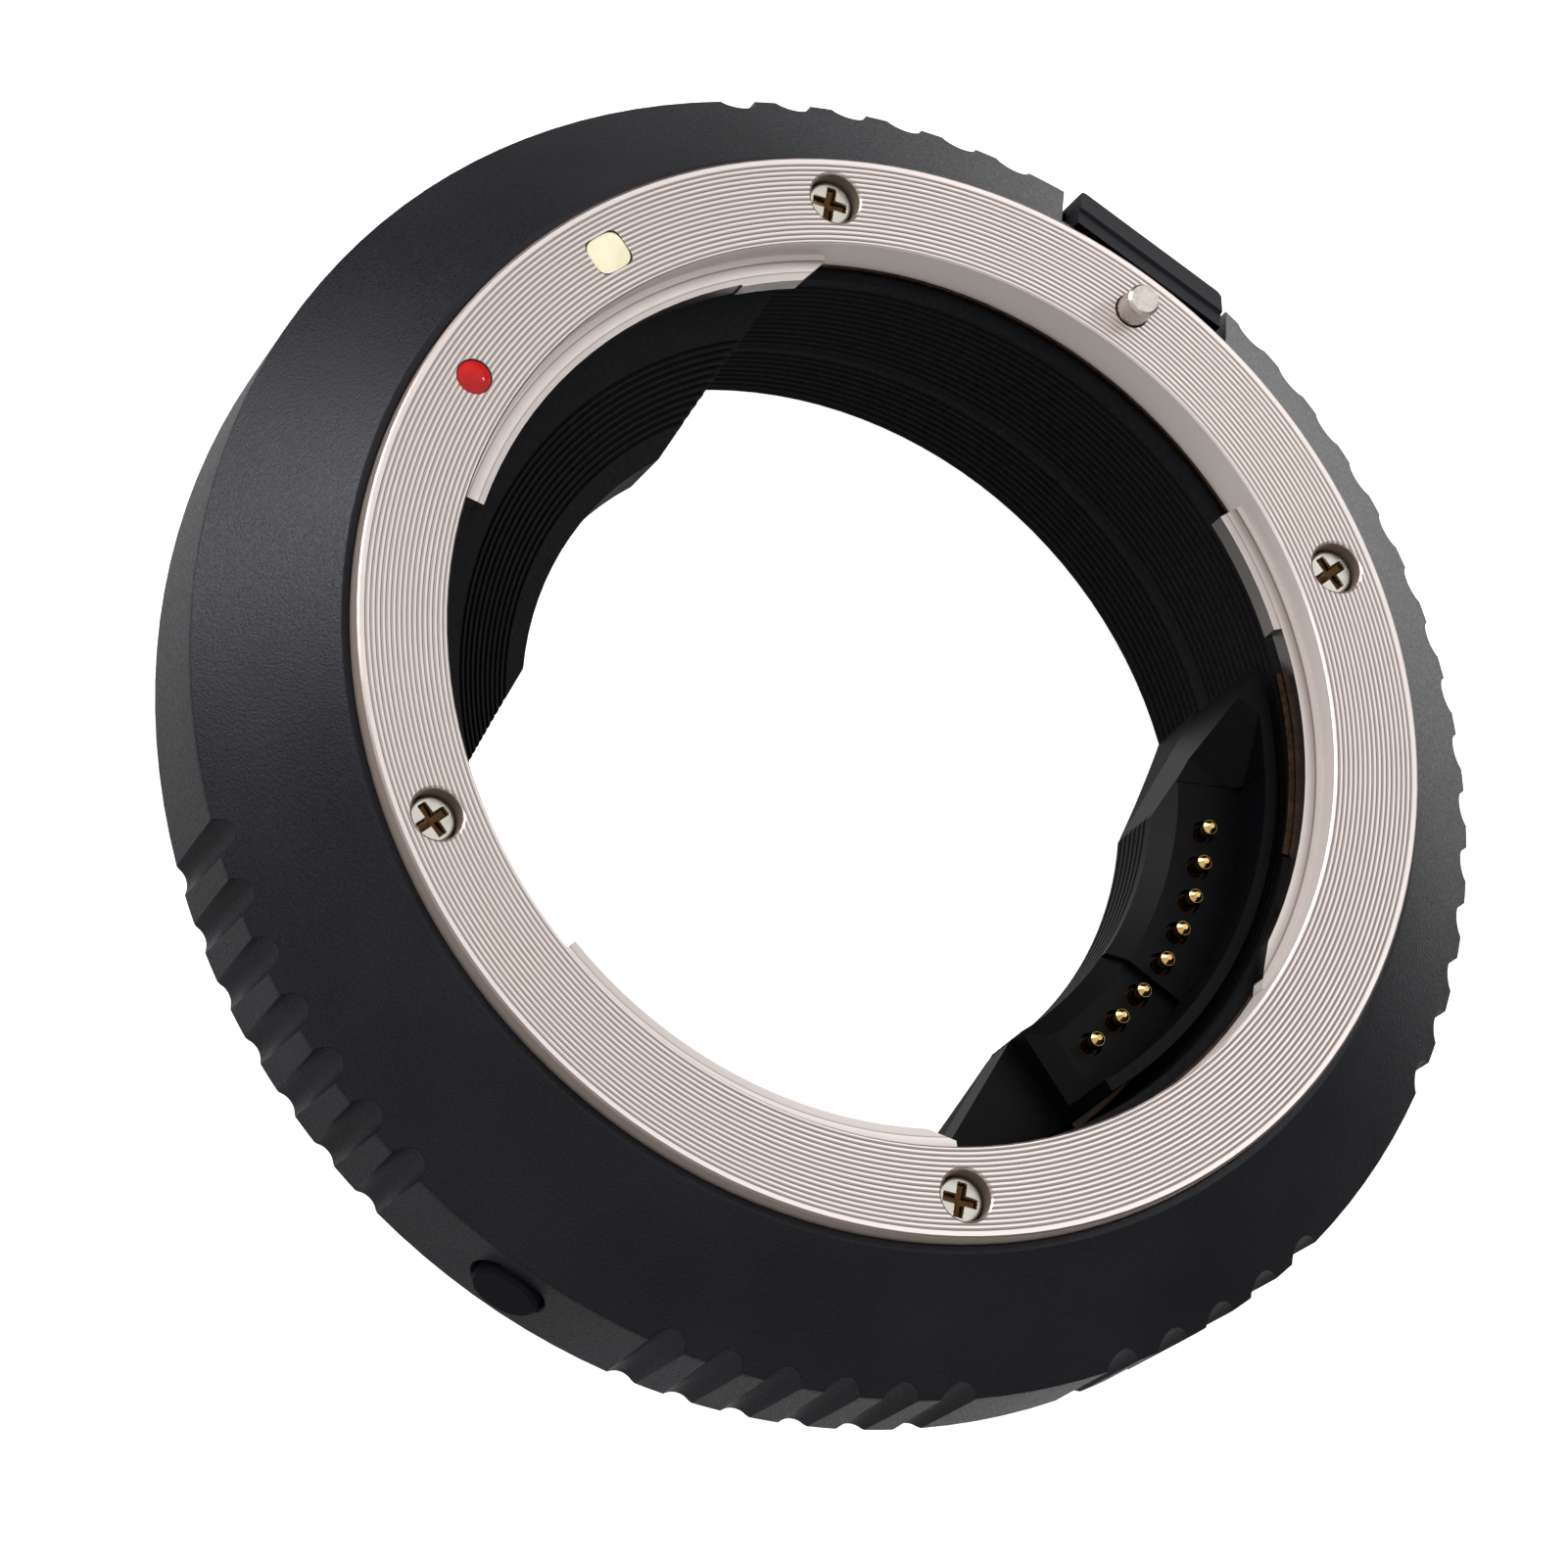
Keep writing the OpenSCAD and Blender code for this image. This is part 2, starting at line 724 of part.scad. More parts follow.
module lens_contact_block() {
    color(matte) difference() {
        contact_block_body();
        for (i = [0:pin_count - 1]) {
            at(pin_angle(i), contact_arc_radius, 0) cylinder(r = barrel_radius + thread_gap, h = 20);
            at(pin_angle(i), contact_arc_radius, pin_platform(i) - socket_depth)
                cylinder(r = socket_radius, h = 5);
        }
        sector(flex_inner - loose_gap, block_outer + 1, block_top - 1, block_top + flex_thickness + 0.1,
            flex_to - 1.5, flex_from + 1.5);
        for (x = block_screw_x)
            translate([x, block_screw_y, block_top - 1]) cylinder(r = pilot_hole, h = 3.2);
    }
}

module contact_pin(i) {
    tip = pin_platform(i) + contact_proud;
    low = block_top + flex_thickness + pin_travel + 0.7;
    color(gold) at(pin_angle(i), contact_arc_radius, 0) {
        translate([0, 0, low]) cylinder(r = contact_pin_radius, h = tip - 0.25 - low);
        translate([0, 0, tip - 0.25 - eps]) cylinder(r1 = contact_pin_radius, r2 = 0.16, h = 0.25 + eps);
    }
}

module contact_pin_1() { contact_pin(0); }
module contact_pin_2() { contact_pin(1); }
module contact_pin_3() { contact_pin(2); }
module contact_pin_4() { contact_pin(3); }
module contact_pin_5() { contact_pin(4); }
module contact_pin_6() { contact_pin(5); }
module contact_pin_7() { contact_pin(6); }
module contact_pin_8() { contact_pin(7); }

module contact_barrels() {
    low = block_top + flex_thickness;
    color(gold) for (i = [0:pin_count - 1]) at(pin_angle(i), contact_arc_radius, 0) difference() {
        translate([0, 0, low]) cylinder(r = barrel_radius, h = pin_platform(i) - socket_depth - low);
        translate([0, 0, low + 0.4]) cylinder(r = contact_pin_radius + 0.05, h = 12);
    }
}

module contact_block_screws() {
    color(steel) for (x = block_screw_x)
        translate([x, block_screw_y, block_screw_seat]) rotate([180, 0, 0]) screw(1.2, 0.8, small_shank, 3.3);
}

// Light baffles

function rib_points(z1, z2, count) = [
    for (i = [0:count - 1])
        let (pitch = (z2 - z1) / count, z = z1 + i * pitch)
        each [
            [tube_r(z) + rib_depth, z + 0.06],
            [tube_r(z) + rib_depth, z + 0.28],
            [tube_r(z), z + pitch - rib_crest],
            [tube_r(z + pitch), z + pitch]
        ]
];

// Crests and grooves down the cone of the top block, from the outer band to the inner one
function cone_z(r) = cone_rib_top - (cone_rib_outer - r) * cone_rib_slope;
function cone_ribs() = [
    for (i = [0:cone_rib_count - 1])
        let (pitch = (cone_rib_outer - cone_rib_inner) / cone_rib_count, r = cone_rib_outer - i * pitch)
        each [
            [r, cone_z(r)],
            [r - rib_crest, cone_z(r - rib_crest)],
            [r - rib_crest - 0.02, cone_z(r - rib_crest) - rib_depth],
            [r - pitch + 0.02, cone_z(r - pitch) - rib_depth]
        ]
];

module top_block() {
    intersection() {
        rotate_extrude() polygon(concat(
            [
                [top_block_arc, block_top],
                [tube_rear_radius - 0.2, block_top],
                [tube_rear_radius - 0.2, tube_seam],
                [tube_outer - 0.4, tube_seam],
                [tube_outer - 0.4, plate_under],
                [tube_outer - 1.3, plate_under - 0.4]
            ],
            cone_ribs(),
            [[cone_rib_inner, cone_z(cone_rib_inner)], [top_block_arc, cone_z(top_block_arc)]]
        ));
        translate([-30, top_chord, 0]) cube([60, 20, 20]);
    }
}

module front_baffle() {
    color(matte) difference() {
        union() {
            rotate_extrude() polygon(concat(
                [[tube_outer, tube_seam], [tube_r(tube_seam), tube_seam]],
                rib_points(tube_seam + 0.2, tube_top - 0.7, front_rib_count),
                [[tube_r(tube_top), tube_top], [tube_outer, tube_top]]
            ));
            ring(tube_outer - 0.2, tube_flange_radius, front_flange_z, plate_under);
            top_block();
        }
        for (a = baffle_screw_angles)
            at(a, baffle_screw_circle, front_flange_z - 1) cylinder(r = pilot_hole, h = 3);
        for (a = lens_screw_angles)
            at(a, lens_screw_circle, front_flange_z - 1) cylinder(r = 1.2, h = 3);
        translate([lock_pin_x, 0, front_flange_z - 1]) cylinder(r = 1.4, h = 3);
    }
}

module front_baffle_screws() {
    color(steel) for (a = baffle_screw_angles)
        at(a, baffle_screw_circle, front_flange_z) rotate([180, 0, 0]) screw(1.3, 0.7, small_shank, 2.9);
}

// Block under the lens contacts, cut back to a cone that faces the camera
module bottom_block() {
    intersection() {
        rotate_extrude() polygon([
            [block_arc + 0.2, block_top],
            [block_arc + 0.2, block_top - 0.15],
            [tube_rear_radius, tube_bottom],
            [tube_outer - 0.4, tube_bottom],
            [tube_outer - 0.4, block_top]
        ]);
        translate([-30, -30, -5]) cube([60, 30 - bottom_chord, 20]);
    }
}

module rear_baffle() {
    color(matte) difference() {
        union() {
            rotate_extrude() polygon(concat(
                [[tube_outer, tube_bottom], [tube_r(tube_bottom), tube_bottom]],
                rib_points(tube_bottom + 0.1, tube_seam - 0.2, rear_rib_count),
                [[tube_r(tube_seam), tube_seam], [tube_outer, tube_seam]]
            ));
            ring(tube_outer - 0.2, tube_flange_radius, rear_rim, rear_flange_top);
            bottom_block();
        }
        sector(tube_rear_radius, tube_outer + 1, block_top - thread_gap, tube_seam + 1,
            flex_to - 1.5, flex_from + 1.5);
        for (a = board_screw_angles)
            at(a, board_screw_circle, rear_rim - 1) cylinder(r = pilot_hole, h = 3);
        translate([guide_x, 0, rear_rim - 1]) cylinder(r = guide_radius + thread_gap, h = 3);
        for (x = block_screw_x) translate([x, block_screw_y, 0]) {
            translate([0, 0, -2]) cylinder(r = pilot_hole, h = 7);
            translate([0, 0, -2]) cylinder(r = 1.4, h = block_screw_seat + 2);
        }
    }
}

module board_screws() {
    color(steel) for (a = board_screw_angles)
        at(a, board_screw_circle, board_top) screw(1.3, 0.7, small_shank, 4.2);
}

// Camera side

tab_spans = [[4, 56], [124, 176], [244, 296]];
tab_bottom = 0.1 - collar_length;
tab_thickness = 1.25;

module camera_mount_ring() {
    color(metal) difference() {
        union() {
            rotate_extrude() polygon([
                [plate_bore, 0],
                [collar_inner, 0],
                [collar_inner, -collar_length + 0.15],
                [collar_inner + 0.15, -collar_length],
                [collar_radius - 0.2, -collar_length],
                [collar_radius, -collar_length + 0.2],
                [collar_radius, 0],
                [camera_flange_radius - 0.2, 0],
                [camera_flange_radius, 0.2],
                [camera_flange_radius, rear_rim],
                [plate_bore, rear_rim]
            ]);
            for (s = tab_spans)
                sector(collar_radius - 0.3, tab_radius, tab_bottom, tab_bottom + tab_thickness, s[0], s[1]);
        }
        for (a = camera_screw_angles) {
            at(a, camera_screw_circle, -1) cylinder(r = 1.6, h = 2.2);
            at(a, camera_screw_circle, -1) cylinder(r = clearance_hole, h = 5);
        }
        for (a = board_screw_angles)
            at(a, board_screw_circle, -0.5) cylinder(r = pilot_hole, h = 4);
        for (s = [-1, 1])
            at(-90 + s * camera_ear_angle, camera_block_screw_circle, -1) cylinder(r = 0.6, h = 2.4);
        translate([0, camera_dot_circle, -0.5]) cylinder(r = camera_dot_radius + thread_gap, h = 0.85);
        at(180, camera_lock_circle, -1) cylinder(r = 1.3, h = 2.3);
    }
}

module camera_mount_screws() {
    color(steel) for (a = camera_screw_angles)
        at(a, camera_screw_circle, 1.2) rotate([180, 0, a]) screw(1.5, 1.1, mount_shank, 6.0);
}

module camera_contact_block() {
    color(matte) difference() {
        union() {
            rotate([0, 0, -90 - camera_block_half]) rotate_extrude(angle = 2 * camera_block_half) polygon([
                [camera_block_inner, camera_block_bottom],
                [camera_block_outer, camera_block_bottom],
                [camera_block_outer, 0],
                [plate_bore, 0],
                [plate_bore, tube_bottom - loose_gap],
                [camera_block_inner, tube_bottom - loose_gap]
            ]);
            for (a = [-90 - camera_ear_half, -90 + camera_block_half - 1])
                sector(plate_bore, camera_block_outer, -camera_ear, 0, a, a + camera_ear_half - camera_block_half + 1);
        }
        for (s = [-1, 1])
            at(-90 + s * camera_ear_angle, camera_block_screw_circle, -2) cylinder(r = 0.6, h = 3);
    }
}

module camera_contact_pads() {
    color(gold) for (i = [0:pad_count - 1])
        at(-90 + (i - (pad_count - 1) / 2) * pad_pitch, pad_circle, camera_block_bottom - pad_thickness)
            translate([-1.1, -0.65, 0]) cube([2.2, 1.3, pad_thickness]);
}

module camera_block_screws() {
    color(steel) for (s = [-1, 1])
        at(-90 + s * camera_ear_angle, camera_block_screw_circle, -camera_ear) rotate([180, 0, 0]) screw(0.75, 0.5, 0.55, 2.2);
}

module camera_index_dot() {
    color([0.8, 0.06, 0.06]) translate([0, camera_dot_circle, 0.02]) cylinder(r = camera_dot_radius, h = 0.33);
}

module rear_gasket() {
    color([0.05, 0.05, 0.05]) ring(gasket_inner, gasket_outer, gasket_bottom, rear_rim);
}

// Electronics

module main_board() {
    color([0.06, 0.22, 0.13]) difference() {
        sector(board_inner, board_outer, board_z, board_top, 7, 353);
        for (a = board_screw_angles)
            at(a, board_screw_circle, board_z - 1) cylinder(r = pilot_hole, h = 3);
    }
}

module control_chip() {
    color([0.05, 0.05, 0.06]) at(225, 30.45, board_top) translate([-2.2, -2.6, 0]) cube([4.4, 5.2, 0.9]);
}

module flex_cable() {
    color([0.55, 0.32, 0.08])
        sector(flex_inner, flex_outer, block_top, block_top + flex_thickness, flex_to, flex_from);
}

body_shell();
lens_mount_ring();
bayonet_leaf_spring();
lens_mount_screws();
red_index_dot();
ivory_index_mark();
lock_pin();
lock_lever();
placed_lock_spring();  // lock_spring
lever_guide_pin();
release_button();
release_button_screws();
side_button();
switch_plunger();
side_switch();
lens_contact_block();
contact_pin_1();
contact_pin_2();
contact_pin_3();
contact_pin_4();
contact_pin_5();
contact_pin_6();
contact_pin_7();
contact_pin_8();
contact_barrels();
contact_block_screws();
front_baffle();
front_baffle_screws();
rear_baffle();
board_screws();
camera_mount_ring();
camera_mount_screws();
camera_contact_block();
camera_contact_pads();
camera_block_screws();
camera_index_dot();
rear_gasket();
main_board();
control_chip();
flex_cable();
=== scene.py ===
# %% [markdown]
# A lens mount adapter, dressed in Blender
#
# The adapter is a short metal tube with a bayonet at each end. Its shapes come packed from the
# CAD step as a fixed frame, with every screw, pin and button in its real place. This lesson gives
# the pieces their finishes, adds the few small forms that solids don't carry well, and lights them
# as a product photographer would: a pale table, a white room, a large soft lamp and a small one.

import math

import bpy
import numpy as np
from mathutils import Matrix, Vector


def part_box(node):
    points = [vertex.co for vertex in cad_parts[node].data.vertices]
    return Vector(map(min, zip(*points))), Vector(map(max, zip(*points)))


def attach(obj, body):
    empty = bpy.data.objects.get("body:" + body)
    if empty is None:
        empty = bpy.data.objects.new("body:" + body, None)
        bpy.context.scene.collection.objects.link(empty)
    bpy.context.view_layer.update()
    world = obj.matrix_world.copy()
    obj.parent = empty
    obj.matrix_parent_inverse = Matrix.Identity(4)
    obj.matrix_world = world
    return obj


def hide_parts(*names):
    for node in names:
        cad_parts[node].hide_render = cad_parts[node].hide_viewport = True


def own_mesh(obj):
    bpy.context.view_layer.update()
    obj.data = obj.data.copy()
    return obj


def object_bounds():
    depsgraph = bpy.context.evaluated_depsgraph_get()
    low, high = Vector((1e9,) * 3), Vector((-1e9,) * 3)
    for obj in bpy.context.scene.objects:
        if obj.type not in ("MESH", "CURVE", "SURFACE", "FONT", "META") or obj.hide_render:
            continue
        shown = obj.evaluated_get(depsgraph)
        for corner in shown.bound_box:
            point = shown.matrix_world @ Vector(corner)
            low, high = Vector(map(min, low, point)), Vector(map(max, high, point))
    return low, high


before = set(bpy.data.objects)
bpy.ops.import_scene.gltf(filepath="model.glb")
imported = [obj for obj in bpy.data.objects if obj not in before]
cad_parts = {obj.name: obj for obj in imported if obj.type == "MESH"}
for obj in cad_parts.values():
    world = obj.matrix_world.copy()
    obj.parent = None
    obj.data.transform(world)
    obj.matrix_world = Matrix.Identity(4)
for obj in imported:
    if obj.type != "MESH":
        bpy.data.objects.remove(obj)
cad_low, cad_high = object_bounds()
MM = 0.001
print("nodes", len(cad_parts), "box in mm", [round(v / MM, 2) for v in cad_high - cad_low])

# %% [markdown]
# Colours are written as the eye and a paint chart know them, as sRGB hex values. Blender's shaders
# want linear light, so one function makes that step. It is the only place where colour is changed.

# %% Colour and node helpers


def linear(hex_colour):
    """sRGB to linear: c / 12.92 up to 0.04045, and ((c + 0.055) / 1.055) to the power 2.4 above it."""
    values = [int(hex_colour[i:i + 2], 16) / 255 for i in (1, 3, 5)]
    return [v / 12.92 if v <= 0.04045 else ((v + 0.055) / 1.055) ** 2.4 for v in values] + [1.0]


def add(tree, kind, settings=None, links=None):
    """Adds one shader node: settings go on its sockets, by name or number, or on its own options."""
    node = tree.nodes.new("ShaderNode" + kind)
    for name, value in (settings or {}).items():
        if isinstance(name, int) or name in node.inputs:
            node.inputs[name].default_value = value
        else:
            setattr(node, name, value)
    for name, source in (links or {}).items():
        tree.links.new(source, node.inputs[name])
    return node


def set_stops(ramp, stops):
    """Puts pairs of place and colour on a colour ramp: its two own stops are the first and the last."""
    held = ramp.color_ramp.elements
    held[0].position, held[0].color = stops[0]
    held[1].position, held[1].color = stops[-1]
    for position, colour in stops[1:-1]:
        held.new(position).color = colour


def start_material(name, **settings):
    """A new material with its surface shader set, and the Object coordinates that its patterns read."""
    material = bpy.data.materials.new(name)
    material.use_nodes = True
    tree = material.node_tree
    tree.nodes.clear()
    shader = add(tree, "BsdfPrincipled", settings)
    add(tree, "OutputMaterial", links={"Surface": shader.outputs["BSDF"]})
    place = add(tree, "TexCoord").outputs["Object"]
    return material, tree, shader, place


def per_mm(size_mm):
    """The scale of a noise texture whose features are this many millimetres apart."""
    return 1 / (size_mm * MM)


print("white card in linear light", [round(v, 3) for v in linear("#FAFAFA")[:3]])

# %% [markdown]
# The outer body is aluminium, turned to shape, blasted with fine glass beads and then anodised
# black. Blasting leaves shallow dents about a sixth of a millimetre apart, which scatter the lamp
# into a soft sheen with tiny sparkles. The dye sits in the pores of the oxide, so the black is deep
# and the mirror part of the sheen is weak. Noise at two sizes gives the dents and the slight
# clouding that a real dye bath leaves. Tumbling rounds every edge by about a tenth of a millimetre,
# which the bevel node shows as a thin line of light along the flutes.

# %% Bead-blasted black anodised aluminium

DENT_MM = 0.17
CLOUD_MM = 9.0
EDGE_MM = 0.12


def make_blasted_anodise(name, colour, darker, roughness, mirror):
    """The colour follows the clouds and the dents; the roughness and the relief follow the dents."""
    material, tree, shader, place = start_material(
        name, **{"Metallic": 0.0, "Roughness": roughness, "IOR": 1.5, "Specular IOR Level": mirror,
                 "Specular Tint": linear("#F6F4FF")})
    dents = add(tree, "TexNoise", {"Scale": per_mm(DENT_MM), "Detail": 3.0, "Roughness": 0.65},
                {"Vector": place})
    clouds = add(tree, "TexNoise", {"Scale": per_mm(CLOUD_MM), "Detail": 2.0}, {"Vector": place})
    both = add(tree, "Math", {"operation": "MULTIPLY_ADD", 1: 0.6},
               {0: dents.outputs["Fac"], 2: clouds.outputs["Fac"]})
    tint = add(tree, "ValToRGB", links={"Fac": both.outputs["Value"]})
    set_stops(tint, [(0.55, linear(darker)), (1.0, linear(colour))])
    tree.links.new(tint.outputs["Color"], shader.inputs["Base Color"])
    gloss = add(tree, "MapRange", {"From Min": 0.35, "From Max": 0.65, "To Min": roughness - 0.08,
                                   "To Max": roughness + 0.1}, {"Value": dents.outputs["Fac"]})
    tree.links.new(gloss.outputs["Result"], shader.inputs["Roughness"])
    softened = add(tree, "Bevel", {"samples": 4, "Radius": EDGE_MM * MM})
    bump = add(tree, "Bump", {"Strength": 0.5, "Distance": 0.06 * MM},
               {"Height": dents.outputs["Fac"], "Normal": softened.outputs["Normal"]})
    tree.links.new(bump.outputs["Normal"], shader.inputs["Normal"])
    return material


blasted_anodise = make_blasted_anodise("black_anodised_bead_blasted", "#16161B", "#0B0B0E",
                                       roughness=0.36, mirror=0.28)
print("made", blasted_anodise.name)

# %% [markdown]
# The lens ring is brass, turned on a lathe and nickel plated. Nickel is warmer than chrome. A tool
# leaves lines that run round the axis, so light spreads across them and not along them: this is
# what the anisotropic setting does, with a tangent that runs round the axis. Each bright fan on the
# ring comes from it. The face also carries sixteen real grooves, and the colour darkens at their
# radii as painted shade. Below the face, the tone goes by the radius alone: the lugs inside, greyer
# with dark lines at their steps as painted shade, the browned walls of the screw holes, and the outer
# wall, darkened as painted shade where it stands in the shade of the body.

# %% Sizes and tones of the lens ring

FACE = 17.3 * MM
FIRST_GROOVE = 27.35 * MM
LAST_GROOVE = 32.2 * MM
GROOVE_PITCH = 0.305 * MM
GROOVE_WIDTH = 0.17 * MM
UNDER_THE_FACE = {"From Min": FACE - 0.12 * MM, "From Max": FACE - 0.09 * MM}
OUTSIDE_THE_THROAT = {"From Min": 26.84 * MM, "From Max": 26.88 * MM}
OUTER_CHAMFER = {"From Min": 32.34 * MM, "From Max": 32.4 * MM}
# Painted shade: the outer chamfer keeps this share of the face's tone and takes the rest from the darker tone
# below the face.
CHAMFER_FACE_SHARE_UNDER_PAINTED_SHADE = 0.35
# Tones below the face by radius in mm. The lugs are greyer than the face, with dark lines at their steps, as
# painted shade. The screw holes' walls are browned. The tone from 32.42 mm out is painted shade on the outer
# wall.
LUG_TONES_WITH_PAINTED_SHADE = [
    (25.0, "#C9C1BD"), (26.02, "#C4BBB7"), (26.07, "#8E8580"), (26.14, "#D8D0CC"),
    (26.68, "#BAB1AD"), (26.75, "#857C78"), (26.84, "#D0C7C3"), (27.3, "#D0C7C3"),
    (27.45, "#7A6A5D"), (32.3, "#7A6A5D"), (32.42, "#82756D"), (33.0, "#82756D"),
]
COLLAR_TONES = [(25.0, "#C6C6C5"), (33.0, "#CFCFCE")]
print("grooves", round((LAST_GROOVE - FIRST_GROOVE) / GROOVE_PITCH + 0.5), "tones", len(LUG_TONES_WITH_PAINTED_SHADE))

# %% [markdown]
# A shader has no lathe, so it works out what a lathe knows: how far a point is from the axis, and
# which way runs round it. The radius then picks the tone, and says where the grooves are.

# %% Patterns that follow the lathe


def radius_and_tangent(tree, place):
    """Distance from the optical axis, and the direction round it, from the Object coordinates."""
    flat = add(tree, "Mapping", {"vector_type": "POINT", "Scale": (1, 1, 0)}, {"Vector": place})
    radius = add(tree, "VectorMath", {"operation": "LENGTH"}, {0: flat.outputs["Vector"]})
    round_axis = add(tree, "VectorMath", {"operation": "CROSS_PRODUCT", 0: (0, 0, 1)},
                     {1: flat.outputs["Vector"]})
    return radius.outputs["Value"], round_axis.outputs["Vector"]


def tone_by_radius(tree, radius, tones):
    """A colour for each radius in mm, blended in between; the ramp runs from the first to the last."""
    first, last = tones[0][0], tones[-1][0]
    along = add(tree, "MapRange", {"From Min": first * MM, "From Max": last * MM}, {"Value": radius})
    ramp = add(tree, "ValToRGB", links={"Fac": along.outputs["Result"]})
    set_stops(ramp, [((mm - first) / (last - first), linear(colour)) for mm, colour in tones])
    return ramp.outputs["Color"]


# Painted shade: this mask darkens the turned metal's colour in its grooves.
def ridge_mask_of_painted_groove_shade(tree, radius):
    """1 on a ridge and 0 in a groove, from the fraction of a pitch that the radius is past the first."""
    turns = add(tree, "MapRange", {"From Min": FIRST_GROOVE, "From Max": FIRST_GROOVE + GROOVE_PITCH,
                                   "To Min": 0.0, "To Max": 1.0, "clamp": False}, {"Value": radius})
    phase = add(tree, "Math", {"operation": "FRACT"}, {0: turns.outputs["Result"]})
    ridge = add(tree, "ValToRGB", links={"Fac": phase.outputs["Value"]})
    share = GROOVE_WIDTH / GROOVE_PITCH
    levels = [(0.0, 0.0), (share - 0.1, 0.0), (share + 0.05, 1.0), (0.93, 1.0), (1.0, 0.0)]
    set_stops(ridge, [(spot, (level, level, level, 1)) for spot, level in levels])
    grooved = add(tree, "Math", {"operation": "COMPARE", 1: (FIRST_GROOVE + LAST_GROOVE) / 2,
                                 2: (LAST_GROOVE - FIRST_GROOVE) / 2}, {0: radius})
    plain = add(tree, "Math", {"operation": "SUBTRACT", 0: 1.0}, {1: grooved.outputs["Value"]})
    light = add(tree, "Math", {"operation": "MAXIMUM"},
                {0: ridge.outputs["Color"], 1: plain.outputs["Value"]})
    return light.outputs["Value"]


# %% [markdown]
# The turned metal joins these. On the face the grooves' painted shade shows, and below it the tone
# by radius. The outer chamfer takes most of its colour from the darker tone below the face, as
# painted shade that holds back its highlight. Walls below the face are tarnished: there the metal
# is less bare and its sheen is broader. A wave of rings adds the fine lines between the grooves.
# Blender's wave repeats 20 times in 2 pi units of its scale.

# %% Turned and plated brass


def make_turned_metal(name, ridge, painted_groove_shade, below, line_mm, roughness, stretch, wall_metal, wall_dull):
    """Painted shade in the grooves on the face and tones by radius below it; wall_metal and wall_dull tarnish
    the walls.
    """
    material, tree, shader, place = start_material(
        name, **{"Metallic": 1.0, "Roughness": roughness, "Anisotropic": stretch})
    radius, tangent = radius_and_tangent(tree, place)
    tree.links.new(tangent, shader.inputs["Tangent"])
    # Painted shade in the grooves: the colour goes from the ridge tone down to the darker groove tone.
    tone = add(tree, "Mix", {"data_type": "RGBA"}, {0: ridge_mask_of_painted_groove_shade(tree, radius)})
    tone.inputs[6].default_value = linear(painted_groove_shade)
    tone.inputs[7].default_value = linear(ridge)
    height = add(tree, "SeparateXYZ", links={"Vector": place})
    on_face = add(tree, "MapRange", UNDER_THE_FACE, {"Value": height.outputs["Z"]})
    # Painted shade on the outer chamfer: its face tone gives way mostly to the darker tone below the face.
    chamfer_painted_shade = add(tree, "MapRange", {**OUTER_CHAMFER, "To Min": 1.0, "To Max": CHAMFER_FACE_SHARE_UNDER_PAINTED_SHADE},
               {"Value": radius})
    plated = add(tree, "Math", {"operation": "MULTIPLY"},
                 {0: on_face.outputs["Result"], 1: chamfer_painted_shade.outputs["Result"]})
    under = tone_by_radius(tree, radius, below)
    whole = add(tree, "Mix", {"data_type": "RGBA"},
                {0: plated.outputs["Value"], 6: under, 7: tone.outputs[2]})
    tree.links.new(whole.outputs[2], shader.inputs["Base Color"])
    wear = add(tree, "TexNoise", {"Scale": per_mm(1.6), "Detail": 5.0, "Roughness": 0.65},
               {"Vector": place})
    gloss = add(tree, "MapRange", {"From Min": 0.3, "From Max": 0.7, "To Min": roughness - 0.05,
                                   "To Max": roughness + 0.07}, {"Value": wear.outputs["Fac"]})
    beyond = add(tree, "MapRange", OUTSIDE_THE_THROAT, {"Value": radius})
    sunk = add(tree, "Math", {"operation": "SUBTRACT", 0: 1.0}, {1: on_face.outputs["Result"]})
    wall = add(tree, "Math", {"operation": "MULTIPLY"},
               {0: beyond.outputs["Result"], 1: sunk.outputs["Value"]})
    dull = add(tree, "Math", {"operation": "MULTIPLY_ADD", 1: wall_dull},
               {0: wall.outputs["Value"], 2: gloss.outputs["Result"]})
    tree.links.new(dull.outputs["Value"], shader.inputs["Roughness"])
    bare = add(tree, "MapRange", {"To Min": 1.0, "To Max": wall_metal}, {"Value": wall.outputs["Value"]})
    tree.links.new(bare.outputs["Result"], shader.inputs["Metallic"])
    lines = add(tree, "TexWave", {"Scale": 2 * math.pi / 20 / (line_mm * MM), "Distortion": 0.0,
                                  "wave_type": "RINGS", "rings_direction": "Z"}, {"Vector": place})
    bump = add(tree, "Bump", {"Strength": 0.2, "Distance": 0.01 * MM}, {"Height": lines.outputs["Fac"]})
    tree.links.new(bump.outputs["Normal"], shader.inputs["Normal"])
    return material


turned_nickel = make_turned_metal(
    "nickel_plated_turned_brass", "#E1D6D3", "#A39994", LUG_TONES_WITH_PAINTED_SHADE,
    line_mm=0.0762, roughness=0.34, stretch=0.7, wall_metal=0.3, wall_dull=0.3)
turned_chrome = make_turned_metal(
    "satin_chrome_turned_brass", "#CFCFCE", "#C6C6C5", COLLAR_TONES,
    line_mm=0.12, roughness=0.27, stretch=0.4, wall_metal=1.0, wall_dull=0.0)
print("made", turned_nickel.name, turned_chrome.name)

# %% [markdown]
# Most of the smaller pieces need only a base colour, a gloss and a grain of the right size: steel
# screws, moulded plastic, gold-plated pins, enamel drops. One function makes them, and what differs
# is what the maker would state: metal or not, how rough the surface was left, and its grain.

# %% Small pieces' finishes


